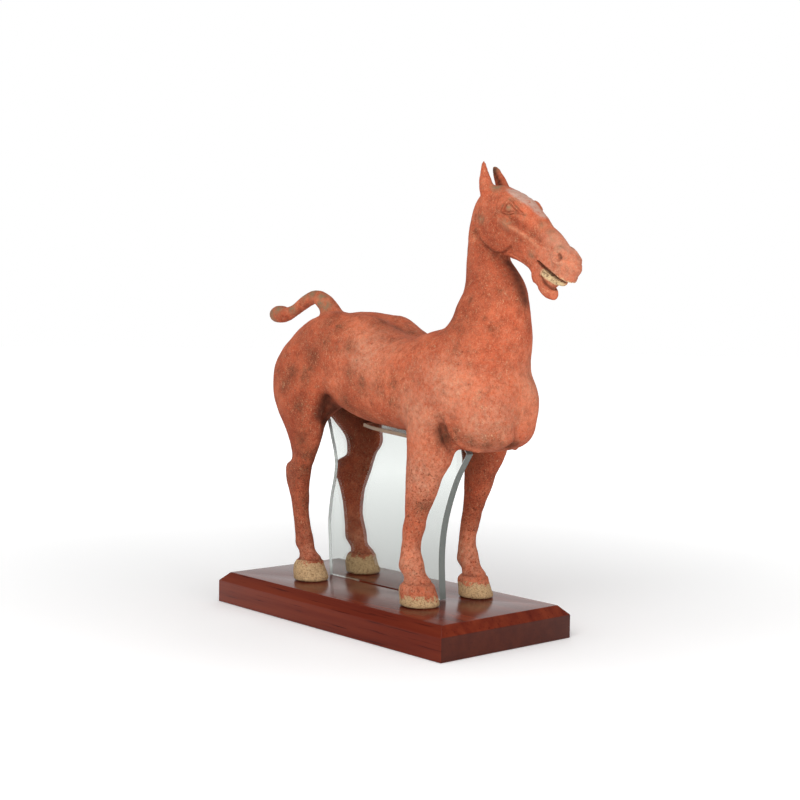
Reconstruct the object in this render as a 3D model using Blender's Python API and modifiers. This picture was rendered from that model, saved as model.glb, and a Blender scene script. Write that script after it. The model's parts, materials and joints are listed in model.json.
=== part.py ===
"""Painted pottery horse on a chamfered wooden base, held up by a clear acrylic support.

Metres, +Z up. The horse faces +X and the origin is the centre of the base's underside.
The pottery is one body, modelled by hand in the old way, so its pose and carving are given
in hundredths of its height: x from the middle of the base, z from the soles.
"""

import math

import bmesh
import bpy
import numpy as np
from mathutils import Vector
from mathutils.bvhtree import BVHTree

# The horse, from its soles to its ear tips.
HORSE_HEIGHT = 0.565

# Where the horse stands on the base: the panel's near face is on the base's middle line.
HORSE_X = -0.0065

# The wooden base.
BASE_LENGTH = 0.470
BASE_WIDTH = 0.228
BASE_THICKNESS = 0.0423
BASE_CHAMFER = 0.012

# The clear support: an upright panel with a tab in the base, and a plate under the belly.
PANEL_THICKNESS = 0.0115
PANEL_REAR = -0.1235
PANEL_FRONT = 0.1085
TAB_REAR = -0.064
TAB_FRONT = 0.086
TAB_DEPTH = 0.014
PLATE_THICKNESS = 0.005
PLATE_WIDTH = 0.066
PLATE_REAR = -0.020
PLATE_FRONT = 0.084

# Fits.
CONTACT_GAP = 0.0003
SLOT_CLEARANCE = 0.0004
BELLY_CLEARANCE = 0.0006

# How finely the clay is worked before it is thinned out to facets.
CLAY_GRAIN = 0.0019
BODY_FACETS = 5700
HEAD_FACETS = 3000

ONE = HORSE_HEIGHT / 100
SUPPORT_Y = PANEL_THICKNESS / 2
SOLE = BASE_THICKNESS + CONTACT_GAP


def clay_point(x, y, z):
    """A point of the horse, from hundredths of its height to metres."""
    return Vector((HORSE_X + x * ONE, SUPPORT_Y + y * ONE, SOLE + z * ONE))


# The head has its own axis, which slopes down from the poll to the muzzle.
HEAD_REAR = (36.5, 88.5)
HEAD_SLOPE = math.radians(-29.7)


def head_point(along, up, across=0.0):
    """A point of the head: along its axis, up from it, and across, as (x, y, z) hundredths."""
    c, s = math.cos(HEAD_SLOPE), math.sin(HEAD_SLOPE)
    return (HEAD_REAR[0] + along * c - up * s, across, HEAD_REAR[1] + along * s + up * c)


# Stations of the lofts: x, z, half height or depth, half width, squareness.
TRUNK = (
    (-35.4, 52.2, 2.4, 2.6, 2.0),
    (-34.0, 52.4, 5.2, 4.7, 2.0),
    (-31.4, 52.6, 7.4, 7.2, 2.1),
    (-28.0, 53.6, 8.9, 9.2, 2.2),
    (-22.0, 55.0, 10.3, 11.0, 2.3),
    (-16.0, 56.0, 10.1, 12.2, 2.7),
    (-10.0, 55.1, 10.9, 12.5, 2.8),
    (-4.0, 53.2, 12.5, 12.4, 2.7),
    (3.0, 51.1, 12.0, 12.3, 2.5),
    (10.0, 49.9, 11.3, 12.2, 2.4),
    (17.0, 49.9, 12.0, 12.3, 2.5),
    (23.0, 49.8, 13.4, 12.3, 2.6),
    (28.0, 48.7, 13.1, 12.2, 2.6),
    (33.0, 46.9, 11.8, 11.4, 2.4),
    (38.2, 46.4, 10.6, 9.6, 2.3),
    (41.5, 46.6, 8.9, 7.3, 2.2),
    (42.9, 46.8, 7.0, 5.6, 2.2),
    (43.6, 46.8, 4.6, 4.0, 2.0),
)
NECK = (
    (30.6, 49.0, 12.0, 11.2, 2.2),
    (31.8, 55.0, 11.7, 10.6, 2.1),
    (33.2, 59.0, 10.9, 9.9, 2.0),
    (34.4, 62.0, 10.3, 9.0, 2.0),
    (34.9, 65.0, 9.8, 7.8, 2.0),
    (35.2, 68.0, 9.3, 7.0, 2.0),
    (35.2, 71.0, 8.4, 6.2, 2.0),
    (34.4, 74.0, 6.9, 5.4, 2.0),
    (33.4, 77.0, 5.5, 4.8, 2.0),
    (33.0, 80.0, 4.8, 4.5, 2.0),
    (33.4, 83.0, 4.9, 4.3, 2.0),
    (33.7, 86.0, 5.0, 4.1, 2.0),
    (34.5, 89.0, 4.7, 3.9, 2.0),
    (35.8, 91.5, 4.0, 3.5, 2.0),
    (36.7, 93.2, 2.6, 2.6, 2.0),
)
HEAD = (
    (-4.4, 1.2, 3.6, 2.6, 2.2),
    (-2.0, 1.0, 5.2, 3.7, 2.4),
    (2.0, 0.6, 6.0, 4.2, 2.7),
    (5.5, 0.7, 6.0, 4.4, 2.8),
    (8.5, 0.7, 5.6, 4.1, 2.6),
    (11.5, 0.7, 5.2, 3.4, 2.4),
    (14.5, 0.5, 4.7, 2.9, 2.4),
    (17.5, 0.9, 3.9, 2.6, 2.4),
    (20.5, 0.7, 3.2, 2.5, 2.5),
    (23.2, 0.2, 2.8, 2.7, 2.5),
    (25.4, -0.5, 2.4, 2.6, 2.5),
    (26.5, -1.1, 1.5, 1.8, 2.3),
)
JAW = (
    (3.0, -3.6, 2.6, 2.6, 2.2),
    (7.5, -4.4, 2.3, 2.3, 2.2),
    (11.5, -4.0, 1.9, 2.1, 2.3),
    (15.0, -4.2, 1.6, 2.0, 2.4),
    (17.9, -5.4, 1.8, 2.0, 2.3),
    (20.2, -6.6, 1.9, 2.1, 2.2),
    (22.1, -7.1, 1.9, 2.0, 2.1),
    (23.7, -7.2, 1.4, 1.6, 2.0),
    (24.5, -7.1, 0.7, 0.9, 2.0),
)
TEETH = (
    (16.0, -3.9, 1.6, 1.6, 2.8),
    (19.5, -3.6, 1.7, 1.6, 3.0),
    (22.5, -3.4, 1.6, 1.6, 3.0),
    (24.9, -3.4, 1.4, 1.4, 2.8),
    (25.8, -3.8, 0.8, 0.9, 2.2),
)
TAIL = (
    (-21.2, 61.0, 3.2, 3.2, 2.0),
    (-21.9, 64.5, 3.0, 3.0, 2.0),
    (-24.2, 67.8, 2.5, 2.5, 2.0),
    (-28.6, 69.8, 1.85, 1.9, 2.0),
    (-33.2, 68.6, 1.7, 1.75, 2.0),
    (-37.6, 66.4, 1.5, 1.6, 2.0),
    (-41.0, 65.3, 1.9, 1.9, 2.0),
    (-44.0, 65.2, 2.4, 2.4, 2.0),
    (-46.4, 65.2, 1.9, 1.9, 2.0),
    (-47.6, 65.2, 0.9, 0.9, 2.0),
)
# Leg stations: x, distance from the middle plane, z, half depth, half width.
FORE_LEG = (
    (22.5, 6.2, 53.0, 5.6, 4.2),
    (23.4, 7.2, 47.0, 6.8, 4.7),
    (24.3, 8.0, 41.5, 7.4, 4.2),
    (24.8, 8.5, 37.0, 6.9, 3.9),
    (24.3, 8.8, 33.0, 5.9, 3.5),
    (22.8, 8.9, 29.0, 4.5, 3.2),
    (22.1, 8.9, 25.5, 3.7, 3.0),
    (21.0, 8.9, 22.0, 2.95, 2.55),
    (20.3, 8.9, 19.5, 2.6, 2.3),
    (19.8, 8.9, 17.5, 2.6, 2.3),
    (19.1, 8.9, 14.5, 2.25, 2.05),
    (18.8, 8.9, 12.0, 2.3, 2.1),
    (19.1, 8.9, 10.0, 2.75, 2.45),
    (19.2, 8.9, 8.2, 3.0, 2.7),
    (20.4, 8.9, 6.8, 2.65, 2.4),
    (21.5, 8.9, 5.4, 3.1, 2.9),
    (21.1, 8.9, 4.1, 3.95, 3.75),
    (21.7, 8.9, 2.0, 4.25, 4.0),
    (22.2, 8.9, 0.5, 4.45, 4.2),
    (22.2, 8.9, -0.8, 4.35, 4.1),
)
HIND_LEG = (
    (-20.4, 5.0, 61.6, 6.2, 3.9),
    (-21.2, 5.6, 57.6, 10.5, 6.0),
    (-21.5, 6.0, 53.0, 13.1, 7.0),
    (-21.5, 6.6, 47.5, 13.4, 6.95),
    (-21.5, 7.6, 43.5, 11.7, 6.0),
    (-21.1, 8.8, 40.0, 9.4, 4.9),
    (-20.3, 9.6, 37.0, 7.4, 4.0),
    (-19.6, 10.1, 34.4, 5.9, 3.3),
    (-19.8, 10.1, 32.4, 5.0, 2.9),
    (-20.4, 9.9, 30.6, 4.3, 2.55),
    (-20.9, 9.8, 29.3, 4.2, 2.5),
    (-22.4, 9.6, 28.3, 5.2, 2.6),
    (-23.1, 9.4, 26.8, 5.5, 2.7),
    (-23.4, 9.3, 24.9, 5.1, 2.6),
    (-23.3, 9.2, 22.5, 4.2, 2.35),
    (-23.0, 9.0, 20.0, 3.4, 2.1),
    (-22.6, 8.9, 16.5, 2.8, 1.9),
    (-22.0, 8.8, 13.0, 2.7, 1.85),
    (-21.3, 8.8, 10.2, 3.0, 2.15),
    (-21.0, 8.8, 8.4, 3.05, 2.3),
    (-20.0, 8.8, 7.0, 2.55, 2.1),
    (-18.5, 8.9, 5.6, 2.9, 2.6),
    (-19.0, 8.9, 4.1, 3.8, 3.6),
    (-18.8, 8.9, 2.3, 4.25, 4.05),
    (-18.1, 8.9, 0.6, 4.45, 4.25),
    (-18.1, 8.9, -0.8, 4.35, 4.15),
)
# Each leg as it was modelled: stations, side, how much stouter it is, and how far its toe turns out.
LEGS = (
    (FORE_LEG, -1, 1.06, 0.0),
    (FORE_LEG, 1, 0.95, 0.0),
    (HIND_LEG, -1, 1.00, 17.0),
    (HIND_LEG, 1, 1.00, 17.0),
)
# Root of the ears, and each ear's side and length.
EAR_ROOT = (35.1, 2.7, 93.6)
EARS = ((-1, 1.0), (1, 0.84))

# The panel's two edges: height above the base, and how far forward of the foot's end, in hundredths.
REAR_EDGE = ((0.0, 0.0), (5.3, -0.4), (10.6, -0.8), (14.2, -0.9), (20.0, -0.1), (24.4, 1.0),
             (28.3, 1.5), (31.9, 0.8), (34.5, -0.1), (38.1, -1.3), (42.5, -3.1))
FRONT_EDGE = ((0.0, 0.0), (4.8, -0.4), (9.4, -0.6), (14.2, -0.3), (18.9, 0.6), (23.7, 2.2),
              (28.5, 4.3), (32.2, 6.6), (35.4, 8.8), (38.9, 11.2))


def between(rows, steps=4):
    """Rows of numbers with a smooth curve of further rows put between each two of them."""
    rows = np.array(rows, float)
    ends = np.vstack([2 * rows[0] - rows[1], rows, 2 * rows[-1] - rows[-2]])
    out = []
    for p0, p1, p2, p3 in zip(ends, ends[1:], ends[2:], ends[3:]):
        for t in np.arange(steps) / steps:
            out.append(0.5 * (2 * p1 + (p2 - p0) * t + (2 * p0 - 5 * p1 + 4 * p2 - p3) * t**2
                              + (3 * p1 - p0 - 3 * p2 + p3) * t**3))
    return np.array(out + [rows[-1]])


def loft(bm, centres, depths, widths, squareness, sides=28):
    """A closed body through rings about the centres, each across the path and level from side to side."""
    path = np.array(centres, float)
    along = np.gradient(path, axis=0)
    along /= np.linalg.norm(along, axis=1)[:, None]
    level = np.array((0.0, 1.0, 0.0)) - along * along[:, 1:2]
    level /= np.linalg.norm(level, axis=1)[:, None]
    skin(bm, path, np.cross(along, level) * np.array(depths)[:, None],
         level * np.array(widths)[:, None], squareness, sides)


def skin(bm, centres, depths, widths, squareness, sides):
    """A closed body through rings, each given by its centre and the two half axes that span it."""
    angles = np.linspace(0, 2 * math.pi, sides, endpoint=False)
    rings = []
    for centre, depth, width, square in zip(centres, depths, widths, squareness):
        ring = []
        for angle in angles:
            c, s = math.cos(angle), math.sin(angle)
            across = math.copysign(abs(c) ** (2 / square), c)
            rise = math.copysign(abs(s) ** (2 / square), s)
            ring.append(bm.verts.new(clay_point(*(centre + width * across + depth * rise))))
        rings.append(ring)
    for one, two in zip(rings, rings[1:]):
        for k in range(sides):
            bm.faces.new((one[k], one[k - 1], two[k - 1], two[k]))
    bm.faces.new(rings[0])
    bm.faces.new(tuple(reversed(rings[-1])))


def loft_in_plane(bm, stations):
    """A loft whose path runs in the middle plane: the stations are x, z, depth, width, squareness."""
    rows = between(stations)
    loft(bm, [(r[0], 0.0, r[1]) for r in rows], rows[:, 2], rows[:, 3], rows[:, 4])


def loft_on_head(bm, stations):
    """A loft whose path runs along the head: the stations are along, up, depth, width, squareness."""
    rows = between(stations)
    loft(bm, [head_point(r[0], r[1]) for r in rows], rows[:, 2], rows[:, 3], rows[:, 4])


def loft_leg(bm, stations, side, stout, toe_out):
    """One leg through level rings; only what hangs below the body is stouter or turned."""
    rows = between(stations)
    free = np.clip((44 - rows[:, 2]) / 12, 0, 1)
    size = 1 + (stout - 1) * free
    turn = np.radians(side * toe_out) * free
    depth, width = rows[:, 3] * size, rows[:, 4] * size
    none = np.zeros(len(rows))
    skin(bm, np.column_stack([rows[:, 0], side * rows[:, 1], rows[:, 2]]),
         np.column_stack([depth * np.cos(turn), depth * np.sin(turn), none]),
         np.column_stack([width * np.sin(turn), -width * np.cos(turn), none]),
         np.full(len(rows), 2.1), sides=24)


def lump(bm, centre, radii, turn=0.0):
    """A rounded mass: an ellipsoid turned about the level axis across the body, in radians."""
    made = bmesh.ops.create_uvsphere(bm, u_segments=32, v_segments=20, radius=1.0)["verts"]
    c, s = math.cos(turn), math.sin(turn)
    for vert in made:
        x, y, z = (vert.co[k] * radii[k] for k in range(3))
        vert.co = clay_point(centre[0] + x * c + z * s, centre[1] + y, centre[2] - x * s + z * c)


def ear(bm, side, length):
    """A pricked leaf-shaped ear that leans back and inwards; its hollow is carved later."""
    rows = between(((0.2, 0.0, -2.0, 1.5, 1.5), (0.0, 0.0, 0.0, 1.55, 1.45), (-0.6, -0.2, 2.0, 1.2, 1.15),
                    (-1.3, -0.5, 4.0, 0.95, 0.9), (-2.0, -0.9, 5.6, 0.65, 0.6), (-2.3, -1.0, 6.4, 0.3, 0.3)))
    reach = np.where(rows[:, 2] > 0, length, 1)
    centres = np.column_stack([EAR_ROOT[0] + rows[:, 0] * reach, side * (EAR_ROOT[1] + rows[:, 1] * reach),
                               EAR_ROOT[2] + rows[:, 2] * reach])
    loft(bm, centres, rows[:, 3], rows[:, 4], np.full(len(rows), 2.0), sides=16)


def raw_clay():
    """All masses of the horse, still overlapping."""
    bm = bmesh.new()
    loft_in_plane(bm, TRUNK)
    loft_in_plane(bm, NECK)
    loft_in_plane(bm, TAIL)
    loft_on_head(bm, HEAD)
    loft_on_head(bm, JAW)
    loft_on_head(bm, TEETH)
    for leg in LEGS:
        loft_leg(bm, *leg)
    for side, length in EARS:
        ear(bm, side, length)
        lump(bm, (39.3, side * 1.4, 85.4), (6.0, 3.2, 6.0))
        lump(bm, (-11.0, side * 6.4, 50.6), (8.0, 5.6, 5.6))
        lump(bm, (36.4, side * 4.2, 42.2), (7.0, 5.6, 6.2))
        lump(bm, (37.2, side * 5.1, 46.6), (6.6, 4.6, 8.2))
        lump(bm, head_point(5.6, 4.4, side * 3.1), (2.7, 1.5, 1.6), -HEAD_SLOPE)
        lump(bm, head_point(23.2, 0.6, side * 1.6), (2.3, 1.6, 1.9), -HEAD_SLOPE)
    mesh = bpy.data.meshes.new("horse")
    bm.to_mesh(mesh)
    bm.free()
    return mesh


def apply(obj):
    """Replaces the object's mesh with what its modifiers make of it."""
    made = bpy.data.meshes.new_from_object(obj.evaluated_get(bpy.context.evaluated_depsgraph_get()))
    obj.modifiers.clear()
    obj.data = made


def group(obj, name, weights):
    """A vertex group with one weight a vertex."""
    made = obj.vertex_groups.new(name=name)
    for index, weight in enumerate(weights):
        if weight > 0:
            made.add([index], float(weight), "REPLACE")
    return made.name


def places(mesh):
    """Every vertex of the mesh, in hundredths of the horse's height."""
    flat = np.empty(len(mesh.vertices) * 3)
    mesh.vertices.foreach_get("co", flat)
    points = flat.reshape(-1, 3) - (HORSE_X, SUPPORT_Y, SOLE)
    return points / ONE


def from_line(points, line):
    """How far each point is from a line through the given points, in hundredths."""
    nearest = np.full(len(points), np.inf)
    line = np.array(line, float)
    for start, end in zip(line, line[1:]):
        run = end - start
        share = np.clip((points - start) @ run / max(run @ run, 1e-9), 0, 1)
        nearest = np.minimum(nearest, np.linalg.norm(points - start - share[:, None] * run, axis=1))
    return nearest


def arc(centre, radius, start, end, across, count=14):
    """Points of an arc on the side of the head, about a point along and up the head's axis."""
    return [head_point(centre[0] + radius * math.cos(math.radians(a)),
                       centre[1] + radius * math.sin(math.radians(a)), across)
            for a in np.linspace(start, end, count)]


def carving():
    """Every mark cut into the clay or pressed onto it: its line, its width and how far it stands out."""
    marks = [
        # the furrow along the back, the cleft of the rump and the cleft of the chest
        ([(-14, 0, 66), (-6, 0, 66), (2, 0, 64.5), (9, 0, 62.4), (14, 0, 62)], 2.4, -1.0),
        ([(-33, 0, 61), (-36, 0, 57), (-36.5, 0, 50), (-34.5, 0, 43)], 1.5, -1.3),
        ([(43.6, 0, 47), (43.5, 0, 44), (43.2, 0, 41)], 1.3, -0.35),
        ([(43.0, 0, 40), (42.2, 0, 38.3), (40.6, 0, 36.7), (36, 0, 35.4)], 1.0, -0.9),
    ]
    for side in (-1, 1):
        def at(x, y, z):
            return x, side * y, z

        def on(along, up, across):
            return head_point(along, up, side * across)

        marks += [
            # the muscles beside the back, the flank's pocket, the thigh's front and the elbow fold
            ([at(-16, 5.8, 65), at(-8, 6.2, 66), at(-2, 6.0, 64.8)], 3.2, 0.75),
            ([at(-11.6, 10.0, 44.4), at(-12.2, 8.6, 41.6), at(-13.6, 6.8, 38.8)], 2.0, -2.2),
            ([at(-12.4, 11.8, 42.6), at(-13.4, 11.8, 39.6), at(-15.2, 12.0, 36.4)], 2.2, -1.2),
            ([at(31.0, 11.6, 42.5), at(31.6, 10.4, 39), at(31.2, 8.6, 36.8)], 1.2, -1.1),
            # the jowl and the two bars of the lower jaw
            (arc((4.0, -1.3), 6.1, -30, -150, side * 4.6), 0.8, -0.6),
            ([on(9.0, -4.2, 2.6), on(17.0, -4.3, 2.4)], 0.5, -0.35),
            ([on(9.0, -5.3, 2.2), on(16.0, -5.2, 2.1)], 0.4, -0.3),
            # the crest below the eye and the hollow under it
            ([on(5.2, 0.2, 4.6), on(10.0, 0.4, 3.9), on(15.5, 0.7, 2.7)], 0.9, 0.3),
            ([on(6.0, 1.7, 4.6), on(10.5, 1.9, 3.8), on(15.0, 2.2, 2.7)], 1.0, -0.25),
            # the eye: socket, ball, lids and the groove to its inner corner
            ([on(4.0, 3.8, 4.6), on(7.6, 4.2, 4.4)], 1.5, -0.45),
            ([on(5.2, 4.0, 4.4), on(6.2, 4.1, 4.4)], 0.9, 0.45),
            ([on(3.0, 3.0, 4.6), on(4.9, 5.9, 4.3), on(9.6, 4.2, 3.9)], 0.6, 0.4),
            ([on(3.0, 3.0, 4.6), on(5.8, 2.4, 4.7), on(9.6, 4.0, 3.9)], 0.6, 0.3),
            # the nostril: rim and pit
            (arc((23.0, 1.6), 1.25, 0, 360, side * 2.9), 0.5, 0.35),
            ([on(22.8, 1.5, 3.0), on(23.3, 1.7, 2.9)], 0.65, -1.0),
            # the mouth: the upper lip's edge, the slit under it and the groove below the teeth
            ([on(18.2, -1.3, 2.4), on(21.5, -1.8, 2.3), on(24.2, -2.1, 2.2), on(26.2, -2.2, 0.9)], 0.7, 0.5),
            ([on(17.6, -2.5, 2.0), on(20.5, -2.8, 1.7), on(23.5, -3.0, 1.7), on(25.6, -3.1, 1.0)], 0.5, -1.2),
            ([on(18.6, -5.0, 2.0), on(21.0, -5.2, 1.8), on(23.6, -5.4, 1.2)], 0.5, -0.7),
        ]
    for side, length in EARS:
        x, y, z = EAR_ROOT
        marks.append(([(x + 0.9, side * (y - 1.1), z + 1.0),
                       (x - 1.6 * length, side * (y - 1.3), z + 5.0 * length)], 0.6, -0.8))
    return marks


def carve(mesh):
    """Moves the skin along its normals by all marks."""
    points = places(mesh)
    normals = np.empty(len(mesh.vertices) * 3)
    mesh.vertices.foreach_get("normal", normals)
    move = np.zeros(len(points))
    for line, width, out in carving():
        line = np.array(line, float)
        near = np.all((points > line.min(0) - 3 * width) & (points < line.max(0) + 3 * width), axis=1)
        move[near] += out * np.exp(-((from_line(points[near], line) / width) ** 2))
    moved = np.empty(len(points) * 3)
    mesh.vertices.foreach_get("co", moved)
    moved = moved.reshape(-1, 3) + normals.reshape(-1, 3) * (move * ONE)[:, None]
    mesh.vertices.foreach_set("co", moved.ravel())


def smooth(obj, name, rounds, weights=None):
    """Smooths the skin that many rounds, where there are weights only as far as they say."""
    modifier = obj.modifiers.new(name, "SMOOTH")
    modifier.iterations, modifier.factor = rounds, 0.5
    if weights is not None:
        modifier.vertex_group = group(obj, name, weights)


def head_side(points):
    """1 above the throat, where the head and its ears are."""
    return np.where((points[:, 2] > 75) & (points[:, 0] > 20), 1.0, 0.0)


def thin_out(obj, name, facets, picked):
    """Brings the picked vertices' part of the skin down to about so many triangles."""
    triangles = np.array([len(p.vertices) - 2 for p in obj.data.polygons])
    mine = np.array([all(picked[v] for v in p.vertices) for p in obj.data.polygons])
    thin = obj.modifiers.new(name, "DECIMATE")
    thin.ratio = 1 - (triangles[mine].sum() - facets) / triangles.sum()
    thin.vertex_group = group(obj, name, picked)
    apply(obj)


def build_horse(collection, material):
    """The masses joined into one skin, softened, carved and thinned out to facets."""
    horse = bpy.data.objects.new("horse", raw_clay())
    collection.objects.link(horse)

    remesh = horse.modifiers.new("one body", "REMESH")
    remesh.mode = "VOXEL"
    remesh.voxel_size = CLAY_GRAIN
    apply(horse)

    smooth(horse, "soft joins", 140, softness(places(horse.data)))
    smooth(horse, "even skin", 3)
    apply(horse)
    carve(horse.data)
    smooth(horse, "worn edges", 1)
    apply(horse)

    thin_out(horse, "body facets", BODY_FACETS, head_side(places(horse.data)) == 0)
    thin_out(horse, "head facets", HEAD_FACETS, head_side(places(horse.data)) > 0)
    rest_flat(horse.data)
    horse.data.materials.append(material)
    return horse


def softness(points):
    """How much the skin is smoothed: fully where limbs and neck join, half on the body, not on its ends."""
    across = points * (1, 0, 1) + (0, 1, 0) * np.abs(points)
    joins = (((-12, 11, 53), 9), ((33, 6, 57), 11), ((24, 11, 45), 7), ((-21, 10, 44), 7), ((38, 5, 58), 6))
    near = [np.exp(-(np.linalg.norm(across - centre, axis=1) / reach) ** 2) for centre, reach in joins]
    return (0.4 + 0.6 * np.maximum.reduce(near)) * (1 - fine_parts(points))


def fine_parts(points):
    """1 on the head, the free legs and the tail, which keep their edges, and 0 on the body."""
    x, _, z = points.T
    head = np.clip((z - 76) / 8, 0, 1)
    legs = np.clip((36 - z) / 4, 0, 1)
    tail = np.clip((-23 - x) / 3, 0, 1) * np.clip((z - 61) / 2, 0, 1)
    return np.maximum.reduce([head, legs, tail])


def rest_flat(mesh):
    """Cuts the soles level."""
    for vert in mesh.vertices:
        if vert.co.z < SOLE + 0.05 * ONE:
            vert.co.z = SOLE


def box(collection, name, low, high):
    """An upright box between two corners."""
    bm = bmesh.new()
    bmesh.ops.create_cube(bm, size=1.0)
    bmesh.ops.scale(bm, verts=bm.verts, vec=[b - a for a, b in zip(low, high)])
    bmesh.ops.translate(bm, verts=bm.verts, vec=[(a + b) / 2 for a, b in zip(low, high)])
    mesh = bpy.data.meshes.new(name)
    bm.to_mesh(mesh)
    bm.free()
    made = bpy.data.objects.new(name, mesh)
    collection.objects.link(made)
    return made


def build_base(collection, cutters, material):
    """The block, its four upper edges chamfered, and the slot for the panel's tab."""
    base = box(collection, "wood_base", (-BASE_LENGTH / 2, -BASE_WIDTH / 2, 0),
               (BASE_LENGTH / 2, BASE_WIDTH / 2, BASE_THICKNESS))
    bm = bmesh.new()
    bm.from_mesh(base.data)
    top = [e for e in bm.edges if all(v.co.z > BASE_THICKNESS / 2 for v in e.verts)]
    bmesh.ops.bevel(bm, geom=top, offset=BASE_CHAMFER, segments=1, affect="EDGES")
    bm.to_mesh(base.data)
    bm.free()

    slot = box(cutters, "slot_cutter",
               (TAB_REAR - SLOT_CLEARANCE, SUPPORT_Y - PANEL_THICKNESS / 2 - SLOT_CLEARANCE,
                BASE_THICKNESS - TAB_DEPTH - SLOT_CLEARANCE),
               (TAB_FRONT + SLOT_CLEARANCE, SUPPORT_Y + PANEL_THICKNESS / 2 + SLOT_CLEARANCE,
                BASE_THICKNESS + TAB_DEPTH))
    slot.display_type = "WIRE"
    cut = base.modifiers.new("slot", "BOOLEAN")
    cut.operation, cut.solver, cut.object = "DIFFERENCE", "EXACT", slot
    base.data.materials.append(material)


def belly_line(horse):
    """A function that gives the lowest height of the horse over a strip across it."""
    mesh = horse.data
    tree = BVHTree.FromPolygons([v.co for v in mesh.vertices], [p.vertices for p in mesh.polygons])

    def lowest(x, half_width):
        hits = [tree.ray_cast(Vector((x, SUPPORT_Y + share * half_width, SOLE)), Vector((0, 0, 1)))[0]
                for share in np.linspace(-1, 1, 9)]
        return min(hit.z for hit in hits if hit)

    return lowest


def cut_sheet(collection, name, outline, thickness, material):
    """A sheet cut to an outline of (x, z) points, standing upright along the base's length."""
    curve = bpy.data.curves.new(name, "CURVE")
    curve.dimensions, curve.fill_mode, curve.extrude = "2D", "BOTH", thickness / 2
    spline = curve.splines.new("POLY")
    spline.points.add(len(outline) - 1)
    for point, (x, z) in zip(spline.points, outline):
        point.co = (x, z, 0, 1)
    spline.use_cyclic_u = True
    flat = bpy.data.objects.new(name + "_outline", curve)
    collection.objects.link(flat)
    mesh = bpy.data.meshes.new_from_object(flat.evaluated_get(bpy.context.evaluated_depsgraph_get()))
    bpy.data.objects.remove(flat, do_unlink=True)
    bm = bmesh.new()
    bm.from_mesh(mesh)
    for vert in bm.verts:
        vert.co = (vert.co.x, SUPPORT_Y - vert.co.z, vert.co.y)
    bmesh.ops.remove_doubles(bm, verts=bm.verts, dist=1e-6)
    bmesh.ops.recalc_face_normals(bm, faces=bm.faces)
    bm.to_mesh(mesh)
    bm.free()
    sheet = bpy.data.objects.new(name, mesh)
    collection.objects.link(sheet)
    mesh.materials.clear()
    mesh.materials.append(material)


def plate_top(belly, x):
    """The height of the plate's upper face, just clear of the belly."""
    return belly(x, PLATE_WIDTH / 2) - BELLY_CLEARANCE


def build_plate(collection, belly, material):
    """The plate that the belly lies on: it follows the belly from rear to front."""
    xs = np.linspace(PLATE_REAR, PLATE_FRONT, 13)
    tops = [plate_top(belly, x) for x in xs]
    outline = [(x, z) for x, z in zip(xs, tops)]
    outline += [(x, z - PLATE_THICKNESS) for x, z in zip(xs[::-1], tops[::-1])]
    cut_sheet(collection, "belly_cradle", outline, PLATE_WIDTH, material)


def panel_edge(stations, foot, roof):
    """The points of one edge of the panel from its foot up to the roof."""
    points = [(foot + ahead * ONE, BASE_THICKNESS + CONTACT_GAP + up * ONE) for up, ahead in between(stations)]
    return [(x, z) for x, z in points if z < roof(x) - ONE / 4]


def build_panel(collection, belly, material):
    """The upright panel: its foot rests on the base, its tab stands in the slot, its top meets the belly."""
    def roof(x):
        top = belly(x, PANEL_THICKNESS / 2) - BELLY_CLEARANCE
        if PLATE_REAR - BELLY_CLEARANCE <= x <= PLATE_FRONT + BELLY_CLEARANCE:
            inside = min(max(x, PLATE_REAR), PLATE_FRONT)
            top = min(top, plate_top(belly, inside) - PLATE_THICKNESS - CONTACT_GAP)
        return top

    rear = panel_edge(REAR_EDGE, PANEL_REAR, roof)
    front = panel_edge(FRONT_EDGE, PANEL_FRONT, roof)
    stops = [rear[-1][0], PLATE_REAR - BELLY_CLEARANCE, PLATE_FRONT + BELLY_CLEARANCE, front[-1][0]]
    top = [(x, roof(x)) for a, b, count in zip(stops, stops[1:], (14, 13, 14))
           for x in np.linspace(a + 1e-5, b - 1e-5, count)]
    foot = BASE_THICKNESS + CONTACT_GAP
    tab = [(TAB_FRONT, foot), (TAB_FRONT, BASE_THICKNESS - TAB_DEPTH),
           (TAB_REAR, BASE_THICKNESS - TAB_DEPTH), (TAB_REAR, foot)]
    outline = rear + top[1:-1] + front[::-1] + tab
    cut_sheet(collection, "support_panel", outline, PANEL_THICKNESS, material)


def plain_material(name, colour, roughness):
    material = bpy.data.materials.new(name)
    material.use_nodes = True
    shader = material.node_tree.nodes["Principled BSDF"]
    shader.inputs["Base Color"].default_value = (*colour, 1)
    shader.inputs["Roughness"].default_value = roughness
    shader.inputs["Metallic"].default_value = 0
    return material


def main():
    for obj in list(bpy.data.objects):
        bpy.data.objects.remove(obj, do_unlink=True)
    parts = bpy.data.collections.new("pottery_horse")
    cutters = bpy.data.collections.new("cutters")
    for collection in (parts, cutters):
        bpy.context.scene.collection.children.link(collection)
    cutters.hide_render = True

    clay = plain_material("red painted pottery", (0.53, 0.13, 0.06), 0.9)
    wood = plain_material("polished red wood", (0.12, 0.02, 0.01), 0.25)
    horse = build_horse(parts, clay)
    build_base(parts, cutters, wood)
    belly = belly_line(horse)
    for build, name in ((build_panel, "clear acrylic panel"), (build_plate, "clear acrylic plate")):
        build(parts, belly, plain_material(name, (0.80, 0.86, 0.86), 0.05))


main()
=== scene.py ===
# %% [markdown]
# # A red painted pottery horse on its display base
#
# The real horse was pressed in clay moulds and joined by hand, fired, and painted with a dry earth red.
# The paint has worn: it is mottled and specked, dark where soil stayed, and the bare clay shows on the
# forehead, the tail and the hooves. It stands on a varnished wooden base, and a clear panel with a curved
# plate carries its belly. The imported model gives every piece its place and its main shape. Here each
# piece gets its finer form and its finish.

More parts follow.
